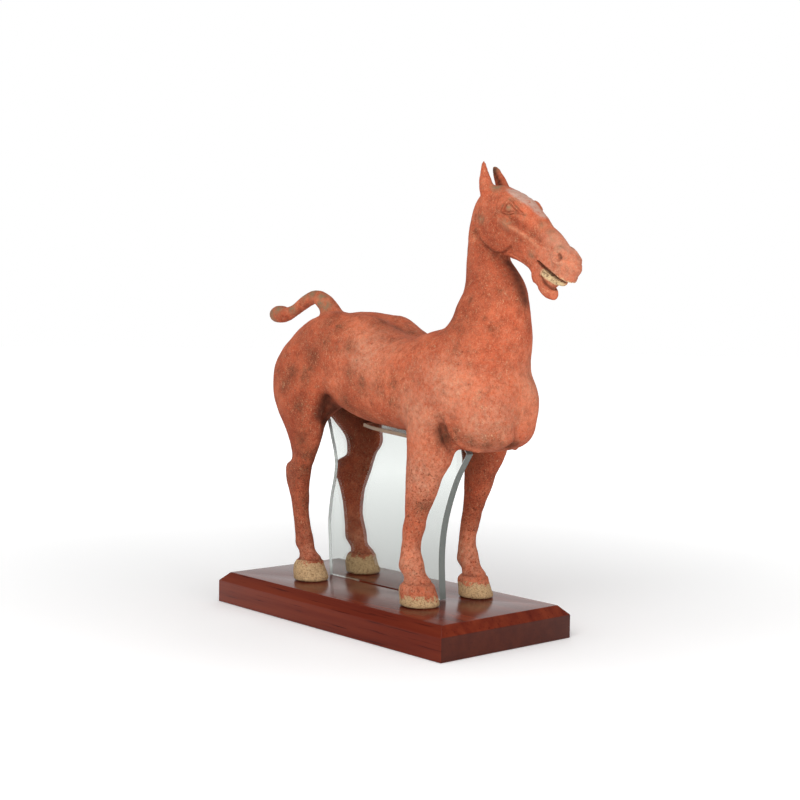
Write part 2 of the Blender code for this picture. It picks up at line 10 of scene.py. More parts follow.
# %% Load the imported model
import json
import math

import bpy
import numpy as np
from mathutils import Matrix, Vector

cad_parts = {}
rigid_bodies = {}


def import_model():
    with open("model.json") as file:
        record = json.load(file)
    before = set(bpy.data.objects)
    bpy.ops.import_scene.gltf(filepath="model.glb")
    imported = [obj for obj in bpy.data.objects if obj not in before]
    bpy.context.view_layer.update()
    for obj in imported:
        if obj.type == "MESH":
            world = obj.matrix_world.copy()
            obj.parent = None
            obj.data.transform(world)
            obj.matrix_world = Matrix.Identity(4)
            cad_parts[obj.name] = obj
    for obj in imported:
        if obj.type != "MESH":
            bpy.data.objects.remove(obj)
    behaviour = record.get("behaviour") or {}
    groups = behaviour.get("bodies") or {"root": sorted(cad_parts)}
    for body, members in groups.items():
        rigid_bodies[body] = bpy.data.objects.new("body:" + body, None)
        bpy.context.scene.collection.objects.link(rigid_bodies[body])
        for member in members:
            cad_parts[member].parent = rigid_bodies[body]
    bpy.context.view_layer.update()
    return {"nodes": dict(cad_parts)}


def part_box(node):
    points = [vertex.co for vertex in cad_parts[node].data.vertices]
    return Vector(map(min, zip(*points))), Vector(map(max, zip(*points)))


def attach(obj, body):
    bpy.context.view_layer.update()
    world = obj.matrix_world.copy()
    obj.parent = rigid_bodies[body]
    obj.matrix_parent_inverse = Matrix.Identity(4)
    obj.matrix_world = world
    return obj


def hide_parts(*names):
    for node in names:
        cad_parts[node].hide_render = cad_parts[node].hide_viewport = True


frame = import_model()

# %% [markdown]
# ## The camera
#
# The photograph looks at the horse's right side and front from almost level with its belly, through a
# long lens. The camera is placed by its azimuth round the base and its elevation, then rolled a little.

# %% Place the camera
AZIMUTH, ELEVATION, ROLL = (math.radians(angle) for angle in (48.85, 3.63, 0.86))
CAMERA_PLACE = (1.5137, -1.3024, 0.4258)
LENS_MM, SENSOR_MM = 66.53, 36.0

backwards = Vector((math.sin(AZIMUTH) * math.cos(ELEVATION), -math.cos(AZIMUTH) * math.cos(ELEVATION),
                    math.sin(ELEVATION)))
level = (-backwards).cross(Vector((0, 0, 1))).normalized()
raised = level.cross(-backwards)
right = level * math.cos(ROLL) + raised * math.sin(ROLL)
upwards = raised * math.cos(ROLL) - level * math.sin(ROLL)

camera = bpy.data.objects.new("camera", bpy.data.cameras.new("camera"))
bpy.context.scene.collection.objects.link(camera)
camera.matrix_world = Matrix.Translation(CAMERA_PLACE) @ Matrix((right, upwards, backwards)).transposed().to_4x4()
camera.data.lens, camera.data.sensor_width = LENS_MM, SENSOR_MM
bpy.context.scene.camera = camera
print("camera", [round(v, 3) for v in camera.location], "lens", LENS_MM, "mm")

# %% [markdown]
# ## Two ways to say where something is
#
# The horse was measured in hundredths of its height: forward from the middle of the base, sideways from
# its own middle, and up from its soles. Marks on the head are easier to give along the head's axis, which
# slopes down from the poll to the muzzle. Two functions turn both into metres, so a mark that was read
# off the photograph can be written down as it was read, and a third turns metres back into hundredths.
# What is on both sides is given once: its side is -1 on the horse's right, which the photograph shows, and
# 1 on its left.

# %% Places on the horse and on its head
ONE = 0.00565
STANDING = np.array((-0.0065, 0.00575, 0.0426))
POLL_X, POLL_Z = 36.5, 88.5
HEAD_SLOPE = math.radians(-29.7)


def on_horse(x, y, z):
    return tuple(STANDING + np.array((x, y, z)) * ONE)


def on_head(along, up, across):
    c, s = math.cos(HEAD_SLOPE), math.sin(HEAD_SLOPE)
    return on_horse(POLL_X + along * c - up * s, across, POLL_Z + along * s + up * c)


def in_hundredths(points):
    return (np.array(points) - STANDING) / ONE


print("poll", [round(v, 3) for v in on_head(0, 0, 0)], "muzzle", [round(v, 3) for v in on_head(26, -1, 0)])

# %% [markdown]
# ## Copies to work on
#
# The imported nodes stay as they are. A piece that needs more work starts as a copy of its node: the loose
# triangles are merged into one skin, and modifiers are applied one after the other, as by hand.

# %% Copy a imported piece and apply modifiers
def pick(piece):
    bpy.ops.object.select_all(action="DESELECT")
    piece.select_set(True)
    bpy.context.view_layer.objects.active = piece


def copy_of(node, name):
    piece = bpy.data.objects.new(name, frame["nodes"][node].data.copy())
    bpy.context.scene.collection.objects.link(piece)
    piece.data.materials.clear()
    pick(piece)
    bpy.ops.mesh.customdata_custom_splitnormals_clear()
    bpy.ops.object.mode_set(mode="EDIT")
    bpy.ops.mesh.select_all(action="SELECT")
    bpy.ops.mesh.remove_doubles(threshold=1e-5)
    bpy.ops.mesh.normals_make_consistent(inside=False)
    bpy.ops.object.mode_set(mode="OBJECT")
    return piece


def modify(piece, kind, **settings):
    modifier = piece.modifiers.new(kind.lower(), kind)
    for name, value in settings.items():
        setattr(modifier, name, value)
    pick(piece)
    bpy.ops.object.modifier_apply(modifier=modifier.name)


# %% [markdown]
# ## The horse's skin
#
# The real surface is soft, hand-smoothed clay with no facets. A voxel remesh gives the copy an even skin
# of small squares, and the facets are then rubbed out by moving each point towards its neighbours. That
# alone would make the legs thinner, so the coarse part of what it took away is put back.

# %% Read, change and rub a skin
def skin_of(piece):
    points = np.empty(len(piece.data.vertices) * 3)
    piece.data.vertices.foreach_get("co", points)
    edges = np.empty(len(piece.data.edges) * 2, int)
    piece.data.edges.foreach_get("vertices", edges)
    return points.reshape(-1, 3), edges.reshape(-1, 2)


def set_skin(piece, points):
    piece.data.vertices.foreach_set("co", points.ravel())
    piece.data.update()


def rub(values, edges, rounds):
    one, other = edges.T
    neighbours = np.bincount(edges.ravel(), minlength=len(values))[:, None]
    for _ in range(rounds):
        total = np.stack([np.bincount(one, v[other], len(values)) + np.bincount(other, v[one], len(values))
                          for v in values.T], axis=1)
        values = values + (total / neighbours - values) / 2
    return values


def rub_and_restore(points, edges, rounds):
    rubbed = rub(points, edges, rounds)
    return rubbed + rub(points - rubbed, edges, rounds)


def ramp(values, start, end):
    return np.clip((values - start) / (end - start), 0, 1)


# %% [markdown]
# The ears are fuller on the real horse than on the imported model, and the left one is a little shorter.
# Each gets a tapered form of rings along its middle line, which the remesh then joins to the head.

# %% Fuller ears
EAR_ROOT = (35.1, 2.7, 93.6)
EAR_BACK, EAR_IN, EAR_UP = 2.2, 1.0, 6.2
EAR_LENGTHS = {-1: 1.0, 1: 0.84}
# each ring: its share of the ear's length and its radius
EAR_RADII_MM = {-1: ((-0.1, 10.0), (0.3, 8.6), (0.5, 7.2), (0.67, 5.4), (0.84, 4.0), (1.0, 2.9), (1.06, 1.6)),
                1: ((-0.1, 10.0), (0.34, 8.2), (0.55, 7.3), (0.76, 6.0), (0.97, 4.6), (1.07, 2.4))}
EAR_SIDES = 20


def ear_point(side, length, share, inwards=0.0):
    root = np.array(EAR_ROOT)
    tip = np.array((EAR_ROOT[0] - EAR_BACK * length, EAR_ROOT[1] - EAR_IN, EAR_ROOT[2] + EAR_UP * length))
    x, y, z = root + (tip - root) * share
    return np.array(on_horse(x, side * (y - inwards), z))


def fuller_ear(side):
    angles = np.linspace(0, 2 * math.pi, EAR_SIDES, endpoint=False)
    corners = [ear_point(side, EAR_LENGTHS[side], share) + np.array((math.cos(a), math.sin(a), 0)) * radius / 1000
               for share, radius in EAR_RADII_MM[side] for a in angles]
    rings = [range(first, first + EAR_SIDES) for first in range(0, len(corners), EAR_SIDES)]
    faces = [(lower[k], lower[(k + 1) % EAR_SIDES], upper[(k + 1) % EAR_SIDES], upper[k])
             for lower, upper in zip(rings, rings[1:]) for k in range(EAR_SIDES)]
    faces += [tuple(rings[0])[::-1], tuple(rings[-1])]
    mesh = bpy.data.meshes.new("ear")
    mesh.from_pydata([tuple(corner) for corner in corners], [], faces)
    ear = bpy.data.objects.new("ear", mesh)
    bpy.context.scene.collection.objects.link(ear)
    return ear


horse = copy_of("horse", "pottery_horse")
ears = [fuller_ear(side) for side in EAR_LENGTHS]
pick(horse)
for ear in ears:
    ear.select_set(True)
bpy.ops.object.join()
print("horse with fuller ears:", len(horse.data.vertices), "points")

# %% [markdown]
# The body is rubbed the most. The head and the legs keep more of their form, and the ears, the hooves and
# the muzzle keep their edges. Each zone fades into the next between two heights or lengths.

# %% One even skin without facets
SKIN_STEP = 0.0032
BODY_ROUNDS, LIMB_ROUNDS, EDGE_ROUNDS = 12, 5, 2
HEAD_UP, LEGS_DOWN = (76, 80), (36, 32)
EARS_UP, HOOVES_DOWN = (92.5, 94), (12, 9)
MUZZLE_AHEAD, MUZZLE_DOWN = (47, 50), (80, 78)

modify(horse, "REMESH", mode="VOXEL", voxel_size=SKIN_STEP)
points, edges = skin_of(horse)
x, y, z = in_hundredths(points).T
limbs = np.maximum(ramp(z, *HEAD_UP), ramp(z, *LEGS_DOWN))[:, None]
muzzle_end = ramp(x, *MUZZLE_AHEAD) * ramp(z, *MUZZLE_DOWN)
ends = np.maximum.reduce([ramp(z, *EARS_UP), ramp(z, *HOOVES_DOWN), muzzle_end])[:, None]
body = rub_and_restore(points, edges, BODY_ROUNDS)
finer = rub_and_restore(points, edges, LIMB_ROUNDS)
finest = rub_and_restore(points, edges, EDGE_ROUNDS)
points = body + (finer - body) * limbs
points = points + (finest - points) * ends
set_skin(horse, points)
print("skin:", len(horse.data.vertices), "points")

# %% [markdown]
# The smallest features are on the head and in the fold of the chest, so the squares are split in four
# there, and those round the eyes and the mouth once more.

# %% Smaller squares where the features are small
# a place on the head, or forward and up on the chest, and how far the zone reaches from it
EYE_ZONE, MOUTH_ZONE = ((6.2, 4.0, 4.0), 3.4), ((22.0, -2.6, 0.0), 5.6)
CHEST_AHEAD, CHEST_UP, CHEST_REACH = 33.5, 38.5, 6.0
# forward of and above these
HEAD_FROM, CHIN_FROM = (24, 76), (46, 68)
SPLIT_ROUNDS = 3


def split_where(piece, chosen):
    centres = np.empty(len(piece.data.polygons) * 3)
    piece.data.polygons.foreach_get("center", centres)
    pick(piece)
    bpy.ops.object.mode_set(mode="EDIT")
    bpy.ops.mesh.select_all(action="DESELECT")
    bpy.ops.object.mode_set(mode="OBJECT")
    piece.data.polygons.foreach_set("select", chosen(in_hundredths(centres.reshape(-1, 3))))
    bpy.ops.object.mode_set(mode="EDIT")
    bpy.ops.mesh.subdivide(number_cuts=1)
    bpy.ops.object.mode_set(mode="OBJECT")


def in_head_or_chest(places):
    ahead, _, height = places.T
    found = np.hypot(ahead - CHEST_AHEAD, height - CHEST_UP) < CHEST_REACH
    for first, lowest in (HEAD_FROM, CHIN_FROM):
        found |= (ahead > first) & (height > lowest)
    return found


def in_face(places):
    found = np.zeros(len(places), bool)
    for (along, up, across), reach in (EYE_ZONE, MOUTH_ZONE):
        for side in (-1, 1):
            centre = in_hundredths(on_head(along, up, side * across))
            found |= np.linalg.norm(places - centre, axis=1) < reach
    return found


for zone in (in_head_or_chest, in_face):
    split_where(horse, zone)
    points, edges = skin_of(horse)
    inside = zone(in_hundredths(points))[:, None]
    set_skin(horse, np.where(inside, rub_and_restore(points, edges, SPLIT_ROUNDS), points))
print("skin with the finer head:", len(horse.data.vertices), "points")

# %% [markdown]
# ## Cut and pressed marks
#
# The maker drew the eyes, lids, nostrils, mouth and jaw with a tool in the soft clay. A mark is a line on
# the skin, how wide it is and how far it stands out, or in where the number is negative, both in
# millimetres. The line is laid onto the skin first, then every point near it moves along its normal. The
# narrow cuts are also kept as painted shade: the deeper and narrower the cut, the darker it is painted.

# %% A tool that draws marks on the skin
MARK_SPACING = 0.0006
# a mark is felt as far as this many times its width, and one that is wider than this gets less painted shade
MARK_REACH, SHADE_WIDTH_MM = 3, 1.2


def drawn(piece, line):
    line = np.array(line, float)
    dots = []
    for start, end in zip(line, line[1:]):
        count = max(1, int(np.linalg.norm(end - start) / MARK_SPACING))
        dots += [start + (end - start) * k / count for k in range(count)]
    dots.append(line[-1])
    return np.array([piece.closest_point_on_mesh(Vector(dot))[1] for dot in dots])


def press(piece, marks, painted_shade, dark=1.0):
    points, _ = skin_of(piece)
    normals = np.empty(points.size)
    piece.data.vertices.foreach_get("normal", normals)
    move, cut_shade = np.zeros(len(points)), np.zeros(len(points))
    for line, width_mm, out_mm in marks:
        dots, width = drawn(piece, line), width_mm / 1000
        lowest, highest = dots.min(0) - MARK_REACH * width, dots.max(0) + MARK_REACH * width
        near = np.flatnonzero(np.all((points > lowest) & (points < highest), axis=1))
        apart = np.full(len(near), np.inf)
        for dot in dots:
            apart = np.minimum(apart, np.sum((points[near] - dot) ** 2, axis=1))
        shape = np.exp(-apart / width ** 2)
        move[near] += out_mm / 1000 * shape
        # painted shade in the cut: the deeper and narrower the cut, the darker
        cut_shade[near] = np.maximum(cut_shade[near], dark * shape * min(1, max(0, -out_mm)) * min(1, SHADE_WIDTH_MM / width_mm) ** 2)
    set_skin(piece, points + normals.reshape(-1, 3) * move[:, None])
    return np.maximum(painted_shade, cut_shade)


# %% [markdown]
# The face is drawn from a few outlines, each given once for both sides: the opening of the eye, the rim
# of the nostril, the round edge of the jowl and the line of the mouth.

# %% Outlines on the head
EYE_MIDDLE = np.array((5.9, 4.0, 4.1))
EYE_OUTLINE = np.array(((4.0, 2.2, 4.3), (4.1, 3.7, 4.1), (4.9, 5.7, 4.0), (7.4, 5.2, 3.8), (9.8, 4.6, 3.1),
                        (7.6, 3.9, 3.8), (6.3, 2.7, 4.2), (4.0, 2.2, 4.3)))
NOSTRIL_RIM = ((20.4, 1.8, 2.4), (21.2, 2.9, 1.9), (23.0, 2.8, 1.6), (24.4, 1.9, 2.1), (24.0, 0.7, 3.0),
               (22.6, 0.2, 2.9), (21.2, 0.5, 2.7), (20.4, 1.8, 2.4))
JOWL = ((-0.9, -5.3, 3.8), (0.3, -6.1, 3.8), (2.6, -6.6, 3.7), (4.3, -6.9, 3.0), (5.6, -7.0, 2.3), (6.9, -6.4, 1.9))
MOUTH = ((17.0, -2.6, 1.5), (18.7, -2.9, 1.2), (20.7, -3.1, 1.0), (22.7, -3.1, 1.0), (24.5, -3.0, 0.9),
         (25.8, -3.0, 0.3))
TOOTH_GAPS = (19.8, 20.9, 22.0, 23.1, 24.1)


def on_side(side, line):
    return [on_head(along, up, side * across) for along, up, across in line]


def eye_line(side, size):
    return on_side(side, EYE_MIDDLE + (EYE_OUTLINE - EYE_MIDDLE) * size)


print("outlines:", [len(line) for line in (EYE_OUTLINE, NOSTRIL_RIM, JOWL, MOUTH)], "places")

# %% Broad marks: brow, cheek, jowl, nostrils and mouth
def broad_marks(side):
    return [
        # the eyeball, the brow, the crest under the eye with the hollows on both sides of it
        (on_side(side, [(5.6, 4.0, 4.4), (6.2, 4.1, 4.3)]), 3.4, 0.9),
        (on_side(side, [(1.2, 5.5, 2.9), (3.6, 6.5, 1.8)]), 2.4, 0.8),
        (on_side(side, [(5.2, 0.9, 4.7), (8.0, 0.8, 4.4), (11.2, 1.0, 3.7)]), 2.6, 3.2),
        (on_side(side, [(11.2, 1.0, 3.7), (14.6, 1.0, 3.1), (17.0, 0.8, 2.6)]), 2.8, 2.2),
        (on_side(side, [(5.4, -0.8, 4.6), (8.0, -0.9, 4.3), (11.4, -0.7, 3.5)]), 3.2, -1.4),
        (on_side(side, [(11.4, -0.7, 3.5), (15.6, -0.9, 2.8)]), 3.2, -1.0),
        (on_side(side, [(8.5, 2.4, 4.2), (13.5, 2.6, 3.3)]), 4.0, -1.8),
        (on_side(side, [(6.9, 2.2, 4.2), (9.9, 2.1, 4.0), (12.9, 2.1, 3.2), (16.0, 1.9, 2.8)]), 2.2, -1.6),
        # the round edge of the jowl and the notch before the jaw
        (on_side(side, JOWL), 2.6, -2.3),
        (on_side(side, [(along + 0.2, up + 0.9, across) for along, up, across in JOWL[:5]]), 2.2, 0.5),
        (on_side(side, [(7.2, -6.0, 2.0), (8.4, -4.8, 2.4), (9.5, -3.3, 3.0)]), 1.8, -2.0),
        (on_side(side, JOWL[2:]), 1.2, -0.7),
        # the nostril: its rim and its hole
        (on_side(side, NOSTRIL_RIM), 2.2, 2.7),
        (on_side(side, [(22.2, 1.9, 2.4), (22.9, 1.6, 2.6)]), 1.8, -3.2),
        (on_side(side, [(22.2, 1.9, 2.4), (22.9, 1.6, 2.6)]), 1.1, -0.8),
        # the corner of the lower jaw and the step before the chin
        (on_side(side, [(17.2, -5.6, 1.2), (17.9, -6.8, 1.0)]), 3.2, 2.6),
        (on_side(side, [(19.2, -8.3, 0.6), (19.3, -7.6, 1.6)]), 1.8, -2.0),
        # the upper lip, its tip and the chin
        (on_side(side, [(17.0, -2.0, 1.9), (19.6, -2.2, 2.4), (23.7, -1.9, 2.5), (25.6, -2.0, 1.8),
                        (26.3, -2.1, 0.4)]), 1.5, 2.0),
        (on_side(side, [(26.2, -1.7, 1.4), (26.6, -1.8, 0.0)]), 3.0, 1.6),
        (on_side(side, [(23.6, -7.6, 1.2), (23.9, -7.8, 0.0)]), 3.2, 0.6),
        # the open mouth, the teeth and the pocket under them
        (on_side(side, MOUTH), 1.15, -2.6),
        (on_side(side, [(19.4, -3.9, 1.4), (21.6, -4.3, 1.3), (24.4, -4.1, 0.9)]), 2.0, 0.9),
        (on_side(side, [(19.3, -5.0, 1.5), (21.2, -5.8, 1.2), (22.8, -5.9, 0.8), (24.2, -5.4, 0.3)]), 1.4, -1.8),
        (on_side(side, [(20.6, -5.6, 1.3), (22.8, -5.9, 0.8), (24.2, -5.4, 0.3)]), 1.0, -0.8),
    ]


coarse = broad_marks(-1) + broad_marks(1)
painted_shade = press(horse, coarse, np.zeros(len(horse.data.vertices)))
print("broad marks on the head:", len(coarse))

# %% Fine marks: lids, wrinkles, jaw bars and teeth
# how dark the painted shade in the fine cuts is
FINE_DARK = 0.35


def fine_marks(side):
    dimple = [on_side(side, [(15.2 + 0.6 * math.cos(a), -2.1 + 0.6 * math.sin(a), 2.5)])[0]
              for a in np.linspace(0, 2 * math.pi, 13)]
    return [
        # the lids: a line round the opening, the raised lid, the line outside it and the brow's edge
        (eye_line(side, 0.60), 0.9, -1.8),
        (eye_line(side, 0.80), 1.0, 2.0),
        (eye_line(side, 1.0), 0.9, -2.0),
        (eye_line(side, 1.2)[:4], 1.3, 1.5),
        # two wrinkles behind the eye
        (on_side(side, [(1.6, 5.1, 3.4), (1.3, 4.2, 3.7), (1.8, 2.8, 4.0), (2.8, 1.8, 4.2)]), 1.2, -0.9),
        (on_side(side, [(0.7, 4.6, 3.4), (0.4, 3.7, 3.7), (0.9, 2.3, 4.0)]), 1.2, -0.7),
        # the two bars of the lower jaw, the dimple, the edge of the forehead, the line of the mouth
        (on_side(side, [(8.8, -5.1, 2.3), (15.8, -4.5, 1.8)]), 1.0, -1.2),
        (on_side(side, [(8.8, -5.6, 2.0), (15.6, -4.95, 1.7)]), 0.9, 0.7),
        (on_side(side, [(8.8, -6.1, 1.6), (15.2, -5.4, 1.5)]), 0.9, -1.1),
        (dimple, 0.8, -0.5),
        (on_side(side, [(0.4, 6.1, 1.8), (3.8, 6.1, 2.6), (8.0, 6.1, 1.7), (11.8, 5.6, 1.0)]), 1.1, 0.4),
        (on_side(side, MOUTH), 0.9, -1.2),
        # the gaps between the teeth
        *((on_side(side, [(along, -3.7, 1.4), (along + 0.1, -4.8, 1.3)]), 0.6, -0.35) for along in TOOTH_GAPS),
    ]


fine = fine_marks(-1) + fine_marks(1)
painted_shade = press(horse, fine, painted_shade, dark=FINE_DARK)
print("fine marks on the head:", len(fine))

# %% [markdown]
# The body has fewer and softer marks: the ears' openings, a round scar on the upper neck, the fold where
# the chest meets the foreleg, the cleft in front, the hollow of the flank, and the top of each hoof.

# %% Ears, neck, chest, flanks and hooves
HOOVES = ((21.5, -8.9, 3.3), (21.5, 8.9, 3.0), (-18.5, -8.9, 3.0), (-18.5, 8.9, 3.0))
CORONET_Z = 5.2
CHEST_FOLD = ((30.3, 10.6, 41.5), (30.5, 10.2, 40.0), (30.8, 9.7, 38.2), (31.1, 8.9, 36.9), (31.0, 7.8, 35.8),
              (31.5, 6.0, 35.4))
CHEST_LIP = ((32.0, 10.6, 42.5), (32.2, 10.2, 40.5), (32.6, 9.2, 38.6), (33.2, 8.2, 37.4), (34.5, 7.0, 36.6),
             (37.0, 5.8, 36.4))
CHEST_CLEFT = ((43.0, 0, 41.5), (42.2, 0, 38.3), (40.6, 0, 36.7), (36.0, 0, 35.4))
FLANK = ((-11.9, 9.6, 45.5), (-12.4, 8.8, 43.4), (-13.2, 8.6, 41.0), (-14.5, 9.0, 38.5))

SCAR = (34.7, -3.9, 87.0)
SCAR_WIDE, SCAR_HIGH, SCAR_UNEVEN = 0.75, 0.95, 0.2
# height, width and depth of the rings round a hoof; the lowest is wider, because the hoof spreads
HOOF_RINGS = ((CORONET_Z, 2.0, -0.5), (CORONET_Z + 0.1, 1.2, -0.7), (CORONET_Z - 0.8, 2.2, 0.4), (0.5, 2.4, 0.7))
HOOF_SPREAD = 1.1
# where the ear's opening is, as shares of the ear's length, and how far it is from the ear's middle line
EAR_OPENING, OPENING_INWARDS = (0.25, 0.45, 0.65), 1.2
# how dark the painted shade in the body's marks is
BODY_DARK = 0.7


def ring(sides):
    return np.linspace(0, 2 * math.pi, sides + 1)


marks = [([on_horse(SCAR[0] + SCAR_WIDE * math.cos(a) * (1 + SCAR_UNEVEN * math.sin(3 * a)), SCAR[1],
                    SCAR[2] + SCAR_HIGH * math.sin(a)) for a in ring(16)], 1.5, -0.6),
         ([on_horse(*p) for p in CHEST_CLEFT], 3.4, -2.2), ([on_horse(*p) for p in CHEST_CLEFT], 1.4, -0.8)]
for side, length in EAR_LENGTHS.items():
    opening = [ear_point(side, length, share, inwards=OPENING_INWARDS) for share in EAR_OPENING]
    marks += [(opening, 2.6, -2.0), (opening, 1.5, -0.8)]
    for line, width, out in ((CHEST_FOLD, 3.4, -4.0), (CHEST_FOLD, 1.5, -1.6), (CHEST_LIP, 4.6, 3.2),
                             (FLANK, 5.0, -3.2), (FLANK, 2.6, -2.2)):
        marks.append(([on_horse(ahead, side * off, height) for ahead, off, height in line], width, out))
for ahead, off, radius in HOOVES:
    for height, width, out in HOOF_RINGS:
        reach = radius + (HOOF_SPREAD if height < 1 else 0)
        marks.append(([on_horse(ahead + reach * math.cos(a), off + reach * math.sin(a), height)
                       for a in ring(24)], width, out))
painted_shade = press(horse, marks, painted_shade, dark=BODY_DARK)
print("marks on the body:", len(marks))

# %% [markdown]
# The hand leaves the clay a little uneven. Two displacements by a cloud texture do that, one as wide as a
# fingertip's stroke and one as wide as a tool's. The soles are then cut level again.

# %% Uneven clay, level soles
def uneven(piece, name, size_mm, height_mm):
    cloud = bpy.data.textures.new(name, "CLOUDS")
    cloud.noise_scale, cloud.noise_depth = size_mm / 1000, 1
    modify(piece, "DISPLACE", texture=cloud, strength=height_mm / 1000, mid_level=0.5, texture_coords="LOCAL")


SOLE = STANDING[2]
LEVEL_BELOW = SOLE + 0.05 * ONE

uneven(horse, "finger strokes", 26, 1.6)
uneven(horse, "tool strokes", 8, 0.5)
points, _ = skin_of(horse)
points[:, 2] = np.where(points[:, 2] < LEVEL_BELOW, SOLE, points[:, 2])
low, high = (np.array(corner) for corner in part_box("horse"))
set_skin(horse, np.clip(points, low, high))
pick(horse)
bpy.ops.object.shade_smooth()
horse.data.calc_loop_triangles()
print("horse:", len(horse.data.loop_triangles), "triangles")

# %% [markdown]
# ## Where the paint is worn or stained, and where light and shade are painted
#
# Wear, stains, and painted light and shade sit at known places, so the skin carries them as attributes:
# numbers from 0 to 1 at each point, which the material reads. A spot is full at its place and fades over
# its reach, in hundredths of the horse's height. The places on the near side were read off the photograph,
# and the far side gets its own, plainer ones.

# %% Masks on the skin
def spots(places, reach):
    found = np.zeros(len(measured))
    for place in places:
        found = np.maximum(found, np.exp(-np.sum((measured - place) ** 2, axis=1) / reach ** 2))
    return found


def on_cheek(side, places):
    return [in_hundredths(on_head(along, up, side * across)) for along, up, across in places]


def on_both_cheeks(places):
    return on_cheek(-1, places) + on_cheek(1, places)


def add_mask(name, values):
    horse.data.attributes.new(name, "FLOAT", "POINT").data.foreach_set("value", np.clip(values, 0, 1))
    print(f"{name}: {100 * float(np.mean(values > 0.5)):.1f} % of the skin's points")


measured = in_hundredths(points)
x, y, z = measured.T
cosine, sine = math.cos(HEAD_SLOPE), math.sin(HEAD_SLOPE)
along = (x - POLL_X) * cosine + (z - POLL_Z) * sine
up = -(x - POLL_X) * sine + (z - POLL_Z) * cosine
on_the_head = ramp(up, -13, -11) * ramp(along, -8, -6)
print("points on the head:", int(np.sum(on_the_head > 0.5)))

# %% Soil stains and painted shade, dust and painted light, and rubbed crests
STAIN_AND_SHADE_REACH, SMALL_STAIN_REACH, DUST_AND_LIGHT_REACH, RUBBED_REACH = 2.1, 0.8, 7.0, 0.45
STAINS_AND_SHADE = (
    (-11.4, -9.6, 63.9), (-9.2, -12.0, 59.2), (-1.1, -11.7, 58.1), (-15.5, -12.4, 52.1), (-16.5, -12.8, 50.5),
    (-14.0, -12.3, 55.1), (-20.9, -13.1, 51.3), (-23.4, -13.3, 48.0), (-18.0, -13.4, 43.0), (0.3, -12.4, 52.2),
    (4.3, -12.1, 49.7), (10.4, -12.1, 49.3), (15.9, -12.2, 50.2), (15.2, -11.9, 46.0), (-2.9, -10.9, 45.2),
    (2.1, -4.0, 64.0), (4.1, -1.2, 62.6), (6.9, 1.0, 61.5), (-6.3, -10.2, 62.6),
    (40.6, -6.5, 38.2), (34.0, -9.5, 40.3), (30.4, -9.9, 39.1), (37.2, -8.5, 38.5), (40.2, 0.3, 37.4),
    # the second and third places on this line, low on the near hind leg, are painted shade on its shaded side
    (24.1, -10.4, 22.9), (-18.4, -10.2, 20.0), (-18.0, -10.0, 16.0), (-17.4, -13.4, 34.9), (-16.5, -12.2, 31.2),
    (-18.2, -11.8, 27.4), (-20.4, 3.0, 41.5), (-18.4, 9.5, 26.0), (-22.1, 6.8, 33.5), (-24.0, 12.5, 52.0),
    (-6.0, 12.4, 55.0), (10.0, 12.0, 47.0), (27.0, 11.8, 52.0), (35.0, 6.0, 68.0), (-34.5, 2.0, 52.0),
    (-31.0, -5.0, 47.0),
)
SMALL_STAINS = (
    (40.9, -6.3, 63.2), (39.1, -6.7, 65.5), (34.4, -6.5, 69.4), (41.3, -4.2, 71.6), (33.1, -3.8, 84.4),
    (33.4, -9.9, 58.4), (37.4, -9.1, 55.3), (32.6, -9.8, 39.8), (33.4, -9.1, 39.2), (41.7, -3.1, 37.8),
    (15.0, -11.9, 47.2), (38.5, 6.0, 60.0), (30.0, 9.0, 45.0),
)
# pale dust, laid where the lamps fall brightest, so it is partly painted light
DUSTY_AND_LIT = (
    (57.5, -1.5, 78.0), (33.0, -12.0, 50.0), (40.0, -6.0, 44.0), (24.0, -12.0, 44.0), (24.0, -11.0, 30.0),
    (40.0, 6.0, 50.0), (20.0, 12.0, 50.0), (5.0, -12.0, 58.0), (19.0, -9.0, 8.0), (-19.0, -9.0, 8.0),
    (19.0, 9.0, 8.0), (-19.0, 9.0, 8.0),
)
CREST = [(a, np.interp(a, (4.5, 8.5, 11.4, 17.2), (0.75, 1.1, 1.15, 0.45)),
          np.interp(a, (4.5, 8.5, 17.2), (4.5, 4.6, 2.9))) for a in np.linspace(4.5, 16.5, 25)]

add_mask("stain_and_shade", np.maximum(spots(STAINS_AND_SHADE, STAIN_AND_SHADE_REACH), spots(SMALL_STAINS, SMALL_STAIN_REACH)))
add_mask("dust_and_light", spots(DUSTY_AND_LIT, DUST_AND_LIGHT_REACH))
add_mask("rubbed", spots(on_cheek(-1, CREST), RUBBED_REACH))

# %% The deepest red, which is painted shade
DEEP_SHADE_REACH = 6.0
# places in shade on the cheeks, the neck, the flanks, the haunches, the far legs and under the belly: a deeper red
# there is painted shade
DEEP_SHADE_PLACES = (
    (37.6, -5.0, 84.4), (37.6, 5.0, 84.4), (33.0, -7.0, 66.0), (37.0, -6.0, 72.0), (-12.0, -9.0, 43.0),
    (-12.0, 9.0, 43.0), (-18.0, -12.0, 45.0), (-24.0, -12.0, 50.0), (31.0, -6.0, 74.0), (36.0, -5.0, 80.0),
    (30.0, -5.0, 66.0), (-15.0, -12.0, 56.0), (26.0, 9.0, 30.0), (24.0, 9.0, 20.0), (30.0, 6.0, 74.0),
    (-20.0, 12.0, 50.0), (0.0, 11.0, 44.0), (0.0, -10.0, 43.0),
)
# painted shade in the trough above the crest under the eye and in the hollow below it
ABOVE_CREST = ((8.5, 2.6, 4.2), (11.0, 2.6, 3.7), (13.5, 2.4, 3.3), (16.0, 2.0, 2.8))
BELOW_CREST = ((1.0, -3.0, 4.6), (4.0, -3.5, 4.6), (7.0, -3.2, 4.2), (10.0, -2.2, 3.4))

